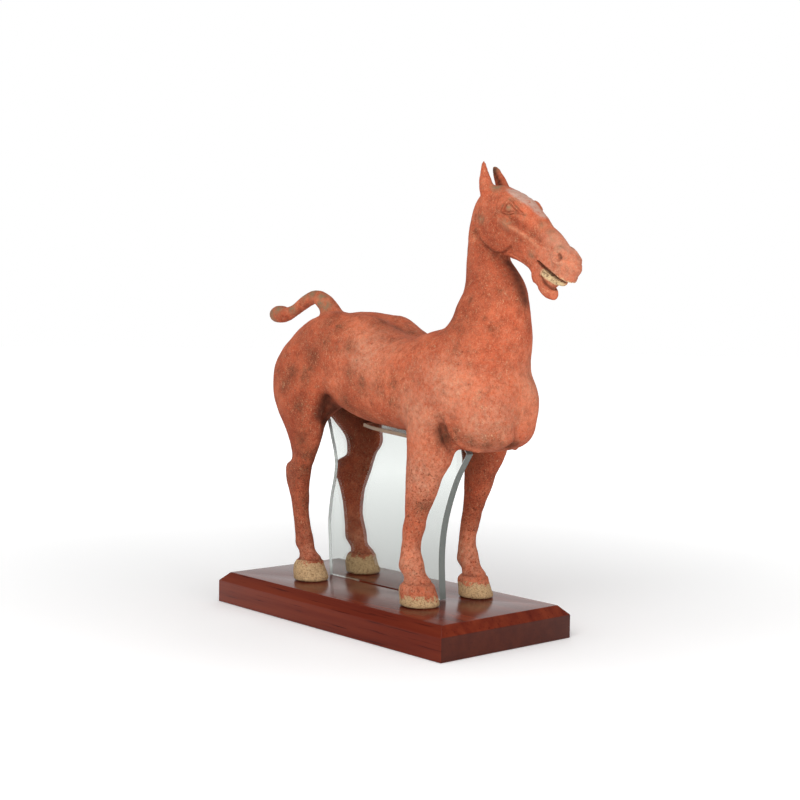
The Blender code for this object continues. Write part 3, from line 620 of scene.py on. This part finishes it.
above_crest = 0.75 * spots(on_both_cheeks(ABOVE_CREST), 1.5)
below_crest = 0.6 * spots(on_both_cheeks(BELOW_CREST), 2.6)
# painted shade under the rear of the belly
hind_belly = 0.9 * ramp(x, 0, -6) * ramp(z, 46, 40)
add_mask("deep_red_shade", np.maximum.reduce([spots(DEEP_SHADE_PLACES, DEEP_SHADE_REACH), above_crest, below_crest, hind_belly]))

# %% Painted shade in the pockets, down the throat, under the jaw and in the ears
# painted shade in the ears' openings
IN_EAR = ((33.5, 1.0, 98.3), (33.7, 1.0, 97.5), (34.1, 1.2, 96.6), (34.8, 1.2, 95.6), (35.4, 1.0, 94.9),
          (34.5, -1.3, 95.0), (33.7, -1.0, 97.0))
# painted shade in the fold of the flank, the fold of the chest and at the end of the cleft
FLANK_POCKET = ((-12.0, 9.2, 45.9), (-12.8, 9.2, 45.0), (-13.0, 9.3, 44.2), (-13.2, 9.7, 43.1), (-13.4, 10.1, 42.0),
                (-13.5, 10.4, 40.8), (-15.3, 7.6, 39.5), (-12.6, 8.4, 44.2), (-11.1, 8.1, 43.5), (-13.6, 8.8, 40.0),
                (-12.4, 8.0, 42.2), (-11.6, 7.6, 42.4), (-13.4, 7.8, 41.0))
CHEST_POCKET = ((30.3, 10.4, 40.6), (30.4, 10.0, 38.8))
CLEFT_END = (41.5, 0, 37.0)
# painted shade down the throat, under the head, and in the pocket under the jaw
THROAT = ((39.7, 0.4, 77.2), (40.7, 0.4, 76.1), (41.8, 0.3, 75.0), (42.5, 0.1, 73.9), (43.2, 0.4, 72.4),
          (43.5, 0.7, 71.1), (43.7, 1.0, 69.6))
UNDER_JAW = ((37.6, -1.8, 79.4), (38.4, -1.0, 79.0), (39.1, 0.3, 78.2), (39.8, 0.5, 77.6))

pockets = [CLEFT_END] + [(ahead, side * off, height) for side in (-1, 1)
                         for ahead, off, height in CHEST_POCKET + FLANK_POCKET]
add_mask("painted_shade", np.maximum.reduce([painted_shade, spots(pockets, 1.7), spots(IN_EAR, 0.9), 0.95 * spots(THROAT, 2.1),
                                      0.75 * spots(UNDER_JAW, 1.2)]))

# %% Bare and greyed clay
# the edge of the bare forehead: its height above the head's axis, at lengths along the axis
BARE_EDGE_ALONG, BARE_EDGE_UP = (0.4, 3.8, 8.0, 11.8, 14.0), (6.3, 6.3, 6.3, 5.8, 5.2)
GREY_ON_TAIL = ((-22.1, -2.1, 67.6), (-24.5, -2.2, 68.0), (-24.7, -1.4, 70.1), (-31.9, -1.2, 70.4),
                (-28.7, -1.4, 70.8), (-37.1, -1.4, 66.8), (-42.9, -1.7, 66.6), (-45.4, -2.1, 65.3),
                (-45.0, -2.0, 63.6))
GREY_ON_EARS = ((33.1, 1.6, 98.9), (37.5, -1.8, 94.0))
GREY_ON_HEAD = ((6.2, 0.9, 4.3), (7.2, 0.7, 4.3), (15.2, -2.1, 2.4), (21.2, 3.1, 1.9), (16.8, 4.3, 1.4),
                (4.9, 5.9, 3.8), (14.2, 4.6, 1.6), (18.4, 3.6, 1.6))
EYEBALL = (5.9, 4.3, 4.5)

edge_up = np.interp(along, BARE_EDGE_ALONG, BARE_EDGE_UP)
forehead = on_the_head * ramp(along, 0.0, 1.5) * ramp(along, 13.2, 12.2) * ramp(up, edge_up - 0.3, edge_up + 0.1)
muzzle = 0.2 * on_the_head * ramp(along, 15, 19) * ramp(along, 24.5, 22.5) * ramp(up, 2.4, 3.2)
add_mask("bare", np.maximum(forehead, muzzle))
add_mask("grey", np.maximum.reduce([
    spots(GREY_ON_TAIL + GREY_ON_EARS, 1.5), 0.7 * spots([SCAR], 1.0), spots(on_both_cheeks([EYEBALL]), 0.75),
    0.45 * spots(on_both_cheeks(EYE_OUTLINE), 0.5), 0.5 * spots(on_both_cheeks(GREY_ON_HEAD), 1.0)]))

# %% Pitted knees, hooves, teeth and the torn lip
PITTED = (
    (24.6, -10.8, 24.5), (25.4, -10.7, 25.9), (23.5, -10.7, 22.2), (21.8, -11.0, 20.0), (27.2, -10.5, 29.5),
    (22.7, -9.0, 18.5), (24.5, 7.4, 24.5), (22.1, 6.9, 21.4), (21.2, 7.9, 15.4), (-21.3, -12.3, 28.7),
    (-19.6, -12.1, 25.8), (-18.8, -10.4, 24.2), (-20.2, -11.2, 21.9), (-19.6, 12.1, 25.8),
)
# how high the paint is gone: the near foreleg's heel and toe, the far foreleg, the hind legs
HEEL_LINE, TOE_LINE, FAR_FORE_LINE, HIND_LINE = 3.6, 1.6, 2.9, 3.9
HEEL_BEFORE = 19.5

add_mask("pitted", np.maximum(0.6 * ramp(z, 38, 30), spots(PITTED, 2.4)))
near_fore_line = np.where(x < HEEL_BEFORE, HEEL_LINE, TOE_LINE)
hoof_line = np.where(x > 0, np.where(y < 0, near_fore_line, FAR_FORE_LINE), HIND_LINE)
add_mask("hoof", ramp(z, hoof_line + 1.4, hoof_line - 0.9) * ramp(z, 8, 7))
add_mask("teeth", on_the_head * ramp(along, 18.6, 19.4) * ramp(up, -5.0, -4.7) * ramp(up, -3.1, -3.4)
         * ramp(along, 25.8, 25.0))
add_mask("torn", on_the_head * ramp(along, 20.0, 23.0) * ramp(up, -2.95, -2.75) * ramp(up, -1.9, -2.2))

# %% [markdown]
# ## Small helpers for materials
#
# Colours are written as the hex values that one reads off a picture and are turned to the linear values
# that the shader counts in. Pattern sizes are written in millimetres. One function adds any node, sets it
# and links it, for a material as well as for the sky.

# %% Colours, sizes and nodes
def colour(hex_code):
    parts = [int(hex_code[k:k + 2], 16) / 255 for k in (1, 3, 5)]
    return (*(p / 12.92 if p <= 0.04045 else ((p + 0.055) / 1.055) ** 2.4 for p in parts), 1.0)


def per_mm(size_mm):
    return 1000 / size_mm


def add(owner, kind, inputs=None, **settings):
    node = owner.node_tree.nodes.new(kind)
    for name, value in settings.items():
        setattr(node, name, value)
    for socket, value in (inputs or {}).items():
        if isinstance(value, bpy.types.NodeSocket):
            owner.node_tree.links.new(value, node.inputs[socket])
        else:
            node.inputs[socket].default_value = value
    return node


def new_material(name):
    material = bpy.data.materials.new(name)
    material.use_nodes = True
    return material, material.node_tree.nodes["Principled BSDF"]


# a Mix node's sockets for colours
MIX_FACTOR, MIX_A, MIX_B, MIX_RESULT = 0, 6, 7, 2

# %% [markdown]
# ## Worn red paint on fired clay
#
# The paint is a dry, matt earth pigment on low-fired clay, so it has hardly any gloss. Its colour wanders:
# broad patches as wide as a hand's palm, mottling a centimetre wide, and a fine grain. Over that lie dark
# soil stains, cream specks and streaks where the paint has flaked, and small dark pits. Light and shade
# are painted too: a deeper red and near black where shade falls, and pale dust that is partly painted
# light where the lamps fall brightest. Each of these is one layer of colour, laid only where its patterns
# and masks allow it. A pattern is a noise of the right size, and a layer takes it from the value where it
# starts to the value where it is full.

# %% Layers of colour
PAINT_LIGHT, PAINT_MID, PAINT_DEEP, DUST_AND_LIGHT = "#C46645", "#AC4E31", "#76301C", "#C89E82"
SOIL, SPECK, PIT_AND_SHADE, RUBBED = "#50301F", "#D3AE85", "#33190F", "#CC8A68"
BARE_CLAY, GREY_CLAY, BUFF_CLAY, TOOTH = "#B39283", "#7B6A51", "#BA9A72", "#C8AD84"
MASKS = ("stain_and_shade", "dust_and_light", "rubbed", "deep_red_shade", "painted_shade", "bare", "grey", "pitted", "hoof", "teeth", "torn")

pottery, shader = new_material("worn_red_pottery_paint")
place = add(pottery, "ShaderNodeTexCoord").outputs["Object"]
known = {name: add(pottery, "ShaderNodeAttribute", attribute_name=name, attribute_type="GEOMETRY").outputs["Fac"]
         for name in MASKS}


def add_patterns(sizes, at=place):
    for name, (size_mm, detail, roughness, warp) in sizes.items():
        known[name] = add(pottery, "ShaderNodeTexNoise", {
            "Vector": at, "Scale": per_mm(size_mm), "Detail": detail, "Roughness": roughness,
            "Distortion": warp}).outputs["Fac"]


def strength(part):
    """A part is a number, the name of a mask or pattern, a socket, or one of those with its start and end."""
    if isinstance(part, tuple):
        pattern, start, full, *top = part
        return add(pottery, "ShaderNodeMapRange", {"Value": strength(pattern), "From Min": start, "From Max": full,
                                                   "To Max": top[0] if top else 1.0}).outputs["Result"]
    return known[part] if isinstance(part, str) else part


def joined(operation, parts):
    total, *others = [strength(part) for part in parts]
    for other in others:
        total = add(pottery, "ShaderNodeMath", {0: total, 1: other}, operation=operation,
                    use_clamp=operation == "ADD").outputs["Value"]
    return total


def all_of(*parts):
    return joined("MULTIPLY", parts)


def any_of(*parts):
    return joined("ADD", parts)


def lay(under, over, *parts):
    under, over = (colour(value) if isinstance(value, str) else value for value in (under, over))
    return add(pottery, "ShaderNodeMix", {MIX_FACTOR: all_of(*parts), MIX_A: under, MIX_B: over},
               data_type="RGBA").outputs[MIX_RESULT]


print("masks to read:", len(known))

# %% The paint's own colour, with its dust, and its painted light and shade
# size in millimetres, detail, roughness and warp of each pattern
add_patterns({"broad patches": (60, 4, 0.6, 0), "mottling": (13, 6, 0.7, 0.4), "fine mottling": (5.5, 5, 0.7, 0.5),
              "grain": (1.9, 3, 0.75, 0), "dust drifts": (45, 4, 0.7, 0), "powder": (6, 6, 0.75, 0),
              "rubbing": (4, 4, 0.7, 0), "deep patches": (22, 5, 0.7, 0)})

skin = lay(PAINT_MID, PAINT_LIGHT, ("broad patches", 0.40, 0.64))
skin = lay(skin, PAINT_DEEP, ("mottling", 0.46, 0.68, 0.7))
# pale dust: real dust, and painted light where the lamps fall brightest
skin = lay(skin, DUST_AND_LIGHT, any_of("dust_and_light", ("dust drifts", 0.50, 0.70, 0.3)), ("powder", 0.30, 0.64), 0.55)
skin = lay(skin, RUBBED, "rubbed", ("rubbing", 0.30, 0.50, 0.85))
skin = lay(skin, DUST_AND_LIGHT, ("fine mottling", 0.52, 0.70, 0.25))
skin = lay(skin, PAINT_DEEP, ("fine mottling", 0.48, 0.32, 0.35))
# painted shade: a deeper red where shade falls
skin = lay(skin, PAINT_DEEP, "deep_red_shade", ("deep patches", 0.25, 0.60, 0.9))
skin = lay(skin, PAINT_LIGHT, ("grain", 0.50, 0.68, 0.5))
skin = lay(skin, PAINT_DEEP, ("grain", 0.48, 0.32, 0.4))
print("paint:", len(pottery.node_tree.nodes), "nodes so far")

# %% Soil, specks, streaks, scratches and pits
running_down = add(pottery, "ShaderNodeMapping", {"Vector": place, "Scale": (1.0, 1.0, 0.22)}).outputs["Vector"]
add_patterns({"streaks": (1.8, 3, 0.6, 0.3)}, at=running_down)
add_patterns({"blotches": (34, 6, 0.75, 0.8), "blotch crumbs": (5, 4, 0.7, 0), "stain crumbs": (5, 6, 0.85, 1.0),
              "deposits": (3.2, 5, 0.75, 0), "where deposits lie": (28, 4, 0.7, 0), "flecks": (1.3, 2, 0.6, 0),
              "where flecks lie": (18, 3, 0.6, 0), "where paint flaked": (50, 3, 0.6, 0.3), "specks": (2.0, 2, 0.5, 0),
              "scratch lines": (9, 3, 0.6, 0.8), "where scratches lie": (7, 3, 0.6, 0), "dots": (1.8, 2, 0.6, 0),
              "pits": (4.5, 2, 0.5, 0), "holes": (3.0, 3, 0.6, 0)})

skin = lay(skin, SOIL, ("blotches", 0.50, 0.72), ("blotch crumbs", 0.30, 0.66), 0.5)
# soil stains, and painted shade low on the near hind leg
skin = lay(skin, SOIL, "stain_and_shade", any_of(("stain crumbs", 0.40, 0.60, 0.8), 0.15), 0.85)
skin = lay(skin, GREY_CLAY, ("deposits", 0.52, 0.68), ("where deposits lie", 0.35, 0.62, 0.5))
skin = lay(skin, SPECK, ("flecks", 0.60, 0.70), ("where flecks lie", 0.38, 0.62, 0.35))

flaked = strength(("where paint flaked", 0.32, 0.62))
# a scratch follows the line on which its noise is just one half
off_line = add(pottery, "ShaderNodeMath", {0: known["scratch lines"], 1: 0.5}, operation="SUBTRACT").outputs["Value"]
off_line = add(pottery, "ShaderNodeMath", {0: off_line}, operation="ABSOLUTE").outputs["Value"]
specks = all_of(("specks", 0.66, 0.71, 0.8), flaked)
streaks = all_of(("streaks", 0.62, 0.72), flaked)
scratches = all_of((off_line, 0.012, 0.004), ("where scratches lie", 0.54, 0.62), flaked)
skin = lay(skin, SPECK, any_of(specks, streaks, scratches), 0.5)

pits, holes = strength(("pits", 0.29, 0.25, 0.7)), all_of("pitted", ("holes", 0.44, 0.38))
skin = lay(skin, PIT_AND_SHADE, any_of(("dots", 0.34, 0.28, 0.3), pits, holes), 0.7)
print("paint, soil and specks:", len(pottery.node_tree.nodes), "nodes so far")

# %% Bare clay, hooves, teeth and the painted shade in the hollows
add_patterns({"bare edge": (5, 5, 0.75, 0), "hoof soil": (4, 5, 0.75, 0), "hoof cream": (7, 5, 0.75, 0),
              "hoof edge": (9, 6, 0.75, 0), "tooth soil": (4, 3, 0.7, 0), "torn edge": (3, 3, 0.7, 0)})

skin = lay(skin, BARE_CLAY, "bare", ("bare edge", 0.30, 0.52))
skin = lay(skin, GREY_CLAY, "grey", ("rubbing", 0.30, 0.52))
buff = lay(BUFF_CLAY, SOIL, ("hoof soil", 0.52, 0.70, 0.8))
buff = lay(buff, TOOTH, ("hoof cream", 0.52, 0.68, 0.6))
buff = lay(buff, SOIL, ("grain", 0.50, 0.34, 0.7))
frayed = any_of(all_of("hoof", 0.6), ("hoof edge", 0.30, 0.70, 0.9))
skin = lay(skin, buff, (frayed, 0.60, 0.72), ("hoof", 0.02, 0.2))
tooth = lay(TOOTH, SOIL, ("tooth soil", 0.50, 0.62, 0.75))
skin = lay(skin, tooth, any_of("teeth", all_of("torn", ("torn edge", 0.44, 0.54))))
# painted shade: the darkest colour in the cuts, the pockets, the throat and the ears
skin = lay(skin, PIT_AND_SHADE, "painted_shade", 0.88)
pottery.node_tree.links.new(skin, shader.inputs["Base Color"])
print("all colours:", len(pottery.node_tree.nodes), "nodes so far")

# %% The paint's dry surface
MATT, DRIEST = 0.82, 0.98
RELIEF_DEPTH = 0.0012

add_patterns({"thumbed clay": (7, 5, 0.7, 0)})
rough = add(pottery, "ShaderNodeMapRange", {"Value": known["grain"], "To Min": MATT, "To Max": DRIEST})
pottery.node_tree.links.new(rough.outputs["Result"], shader.inputs["Roughness"])
shader.inputs["Specular IOR Level"].default_value = 0.2
relief = any_of(all_of("grain", 0.5), all_of("thumbed clay", 0.5))
relief = add(pottery, "ShaderNodeMath", {0: relief, 1: all_of(any_of(pits, holes), 0.5)}, operation="SUBTRACT")
bump = add(pottery, "ShaderNodeBump", {"Height": relief.outputs["Value"], "Strength": 0.5, "Distance": RELIEF_DEPTH})
pottery.node_tree.links.new(bump.outputs["Normal"], shader.inputs["Normal"])

horse.data.materials.append(pottery)
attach(horse, "root")
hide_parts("horse")
print("pottery material:", len(pottery.node_tree.nodes), "nodes")

# %% [markdown]
# ## The wooden base
#
# The base is a block of dark reddish hardwood with a chamfer all round its top, stained and varnished.
# Its edges are broken by sandpaper, which catches the light, so the copy gets small bevels.

# %% Model the base
BASE_BEVEL = 0.0008
SMOOTH_BELOW = math.radians(35)


def flat_faces(piece, angle):
    pick(piece)
    bpy.ops.object.mode_set(mode="EDIT")
    bpy.ops.mesh.select_all(action="SELECT")
    bpy.ops.mesh.dissolve_limited(angle_limit=angle)
    bpy.ops.object.mode_set(mode="OBJECT")


base = copy_of("wood_base", "polished_wood_base")
flat_faces(base, math.radians(1))
modify(base, "BEVEL", width=BASE_BEVEL, segments=3, limit_method="ANGLE", angle_limit=math.radians(30))
bpy.ops.object.shade_smooth_by_angle(angle=SMOOTH_BELOW)
print("base:", len(base.data.polygons), "faces")

# %% [markdown]
# The grain runs along the block: noise that is stretched along X gives long fibres, and finer, darker
# noise the pores. The two ends show darker end grain. The varnish fills the pores and leaves a soft gloss,
# which is a low roughness here, with ridges that can just be felt.

# %% Varnished hardwood
WOOD_DARK, WOOD_LIGHT, WOOD_PORE, END_GRAIN = "#5A1E12", "#742F1C", "#3A100A", "#3C211B"
BAND_MM, FIBRE_MM, ALONG_GRAIN = 16, 2.2, 0.03

wood, shader = new_material("varnished_mahogany")
turned = add(wood, "ShaderNodeTexCoord")
fibres = add(wood, "ShaderNodeMapping", {"Vector": turned.outputs["Object"], "Scale": (ALONG_GRAIN, 1.0, 1.0)})
fibres = fibres.outputs["Vector"]
bands = add(wood, "ShaderNodeTexNoise", {"Vector": fibres, "Scale": per_mm(BAND_MM), "Detail": 4.0}).outputs["Fac"]
threads = add(wood, "ShaderNodeTexNoise", {"Vector": fibres, "Scale": per_mm(FIBRE_MM), "Detail": 3.0}).outputs["Fac"]
endwise = add(wood, "ShaderNodeSeparateXYZ", {"Vector": turned.outputs["Normal"]}).outputs["X"]
endwise = add(wood, "ShaderNodeMath", {0: endwise}, operation="ABSOLUTE").outputs["Value"]

board = colour(WOOD_DARK)
for over, pattern, start, full, top in ((WOOD_LIGHT, bands, 0.35, 0.65, 1.0), (WOOD_PORE, threads, 0.60, 0.72, 1.0),
                                        (END_GRAIN, endwise, 0.80, 0.95, 0.75)):
    share = add(wood, "ShaderNodeMapRange", {"Value": pattern, "From Min": start, "From Max": full, "To Max": top})
    board = add(wood, "ShaderNodeMix", {MIX_FACTOR: share.outputs["Result"], MIX_A: board, MIX_B: colour(over)},
                data_type="RGBA").outputs[MIX_RESULT]
wood.node_tree.links.new(board, shader.inputs["Base Color"])

gloss = add(wood, "ShaderNodeMapRange", {"Value": threads, "To Min": 0.16, "To Max": 0.24}).outputs["Result"]
wood.node_tree.links.new(gloss, shader.inputs["Roughness"])
shader.inputs["Specular IOR Level"].default_value = 0.10
ridges = add(wood, "ShaderNodeBump", {"Height": threads, "Strength": 0.06, "Distance": 0.0004})
wood.node_tree.links.new(ridges.outputs["Normal"], shader.inputs["Normal"])

base.data.materials.append(wood)
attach(base, "root")
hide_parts("wood_base")
print("wood material:", len(wood.node_tree.nodes), "nodes")

# %% [markdown]
# ## The clear support
#
# The panel and the plate are cut from clear acrylic sheet. Acrylic bends light a little less than glass,
# at an index of 1.49, and its cut edges are polished, with a fine bevel that catches the light. The
# faint grey green that a thick sheet shows at its edge is the colour that the light loses inside, so it
# belongs to the cut faces. The plate lies against the horse, and its edge is tinted brown: a painted
# reflection of the clay. Lamplight passes through the real sheets, so they cast no shadow here.

# %% Clear acrylic and its polished edges
ACRYLIC_IOR = 1.49
# the plate's brown edge tint is a painted reflection of the clay above it
SHEET_TINT, EDGE_TINTS = "#D4D8D5", {"support_panel": "#848B86", "belly_cradle": "#94785F"}


def clear_material(name, tint, roughness, transmission):
    material, shader = new_material(name)
    shader.inputs["Base Color"].default_value = colour(tint)
    shader.inputs["Roughness"].default_value = roughness
    shader.inputs["IOR"].default_value = ACRYLIC_IOR
    shader.inputs["Transmission Weight"].default_value = transmission
    return material


acrylic = clear_material("clear_acrylic", SHEET_TINT, 0.0, 1.0)
acrylic.node_tree.nodes["Principled BSDF"].inputs["Specular IOR Level"].default_value = 0.12
edges_of = {node: clear_material("polished_edge_" + node, tint, 0.12, 0.45) for node, tint in EDGE_TINTS.items()}
print("clear materials:", acrylic.name, *(edge.name for edge in edges_of.values()))

# %% Model and finish the panel and the plate
SHEET_BEVEL = 0.0005
BROAD_FACE = 0.8

for node, name, flat_axis in (("support_panel", "clear_support_panel", 1), ("belly_cradle", "clear_belly_plate", 2)):
    sheet = copy_of(node, name)
    flat_faces(sheet, math.radians(0.5))
    modify(sheet, "BEVEL", width=SHEET_BEVEL, segments=2, limit_method="ANGLE", angle_limit=math.radians(40))
    bpy.ops.object.shade_smooth_by_angle(angle=SMOOTH_BELOW)
    modify(sheet, "WEIGHTED_NORMAL", keep_sharp=True, weight=100)
    sheet.data.materials.append(acrylic)
    sheet.data.materials.append(edges_of[node])
    for face in sheet.data.polygons:
        face.material_index = 0 if abs(face.normal[flat_axis]) > BROAD_FACE else 1
    sheet.visible_shadow = False
    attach(sheet, "root")
    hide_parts(node)
    print(name, len(sheet.data.polygons), "faces")

# %% [markdown]
# ## The studio
#
# The light is soft and comes from all round. A wide pale floor takes the soft shadow, and glows a little
# far away from the horse, so that it fades into a white horizon.

# %% Floor
FLOOR_RADIUS, FLOOR_DROP = 12.0, 0.0005
GLOW_FROM, GLOW_FULL, GLOW_NEAR, GLOW = 0.25, 1.8, 0.12, 0.85

bpy.ops.object.select_all(action="DESELECT")
bpy.ops.mesh.primitive_circle_add(vertices=96, radius=FLOOR_RADIUS, fill_type="NGON", location=(0, 0, -FLOOR_DROP))
floor = bpy.context.active_object
floor.name = "studio_floor"
ground, shader = new_material("pale_studio_floor")
place = add(ground, "ShaderNodeTexCoord").outputs["Object"]
away = add(ground, "ShaderNodeVectorMath", {0: place}, operation="LENGTH").outputs["Value"]
glow = add(ground, "ShaderNodeMapRange", {"Value": away, "From Min": GLOW_FROM, "From Max": GLOW_FULL,
                                          "To Min": GLOW_NEAR, "To Max": GLOW}).outputs["Result"]
shader.inputs["Base Color"].default_value = colour("#F2F2F2")
shader.inputs["Roughness"].default_value = 0.9
shader.inputs["Specular IOR Level"].default_value = 0.0
shader.inputs["Emission Color"].default_value = (1, 1, 1, 1)
ground.node_tree.links.new(glow, shader.inputs["Emission Strength"])
floor.data.materials.append(ground)
print("floor:", FLOOR_RADIUS, "m in radius")

# %% [markdown]
# The sky is white near the horizon, all round, and behind the horse as the camera stands. Elsewhere it is
# dim, so that the lamps shape the horse and the varnish has something to mirror.

# %% Sky
DIM, WHITE = 0.22, 1.0
BEHIND = (-math.sin(AZIMUTH), math.cos(AZIMUTH), 0.0)
BEHIND_FROM, BEHIND_FULL = 0.80, 0.92
HORIZON_TO, HORIZON_GONE = 0.21, 0.37

world = bpy.data.worlds.new("white_studio")
world.use_nodes = True
bpy.context.scene.world = world
looking = add(world, "ShaderNodeTexCoord").outputs["Generated"]
facing = add(world, "ShaderNodeVectorMath", {0: looking, 1: BEHIND}, operation="DOT_PRODUCT").outputs["Value"]
behind = add(world, "ShaderNodeMapRange", {"Value": facing, "From Min": BEHIND_FROM, "From Max": BEHIND_FULL,
                                           "To Min": DIM, "To Max": WHITE}).outputs["Result"]
above = add(world, "ShaderNodeSeparateXYZ", {"Vector": looking}).outputs["Z"]
horizon = add(world, "ShaderNodeMapRange", {"Value": above, "From Min": HORIZON_TO, "From Max": HORIZON_GONE,
                                            "To Min": WHITE, "To Max": DIM}).outputs["Result"]
brightness = add(world, "ShaderNodeMath", {0: behind, 1: horizon}, operation="MAXIMUM").outputs["Value"]
sky = world.node_tree.nodes["Background"]
sky.inputs["Color"].default_value = (1, 1, 1, 1)
world.node_tree.links.new(brightness, sky.inputs["Strength"])
print("sky:", len(world.node_tree.nodes), "nodes")

# %% [markdown]
# Five round soft lamps are aimed at the horse's belly. The brightest stands near the camera and a little
# to its left. Weaker ones stand on both sides, above and behind, and fill the shadows.

# %% Lamps
# azimuth and elevation in degrees, distance and size in metres, power in watts
LAMPS = {"key": (38, 31, 2.0, 1.5, 25.5), "left": (-15, 25, 2.4, 1.3, 5), "right": (95, 12, 2.2, 1.2, 9.5),
         "top": (70, 80, 2.0, 1.2, 8), "rear": (215, 40, 2.4, 1.4, 5)}
AIM = Vector((0.0, 0.0, 0.28))

for name, (azimuth, elevation, distance, size, watts) in LAMPS.items():
    lamp = bpy.data.objects.new(name, bpy.data.lights.new(name, "AREA"))
    bpy.context.scene.collection.objects.link(lamp)
    a, e = math.radians(azimuth), math.radians(elevation)
    outwards = Vector((math.sin(a) * math.cos(e), -math.cos(a) * math.cos(e), math.sin(e)))
    lamp.location = AIM + outwards * distance
    lamp.rotation_euler = outwards.to_track_quat("Z", "Y").to_euler()
    lamp.data.shape, lamp.data.size, lamp.data.energy = "DISK", size, watts
bpy.context.scene.view_settings.view_transform = "Standard"
print("lamps:", list(LAMPS))
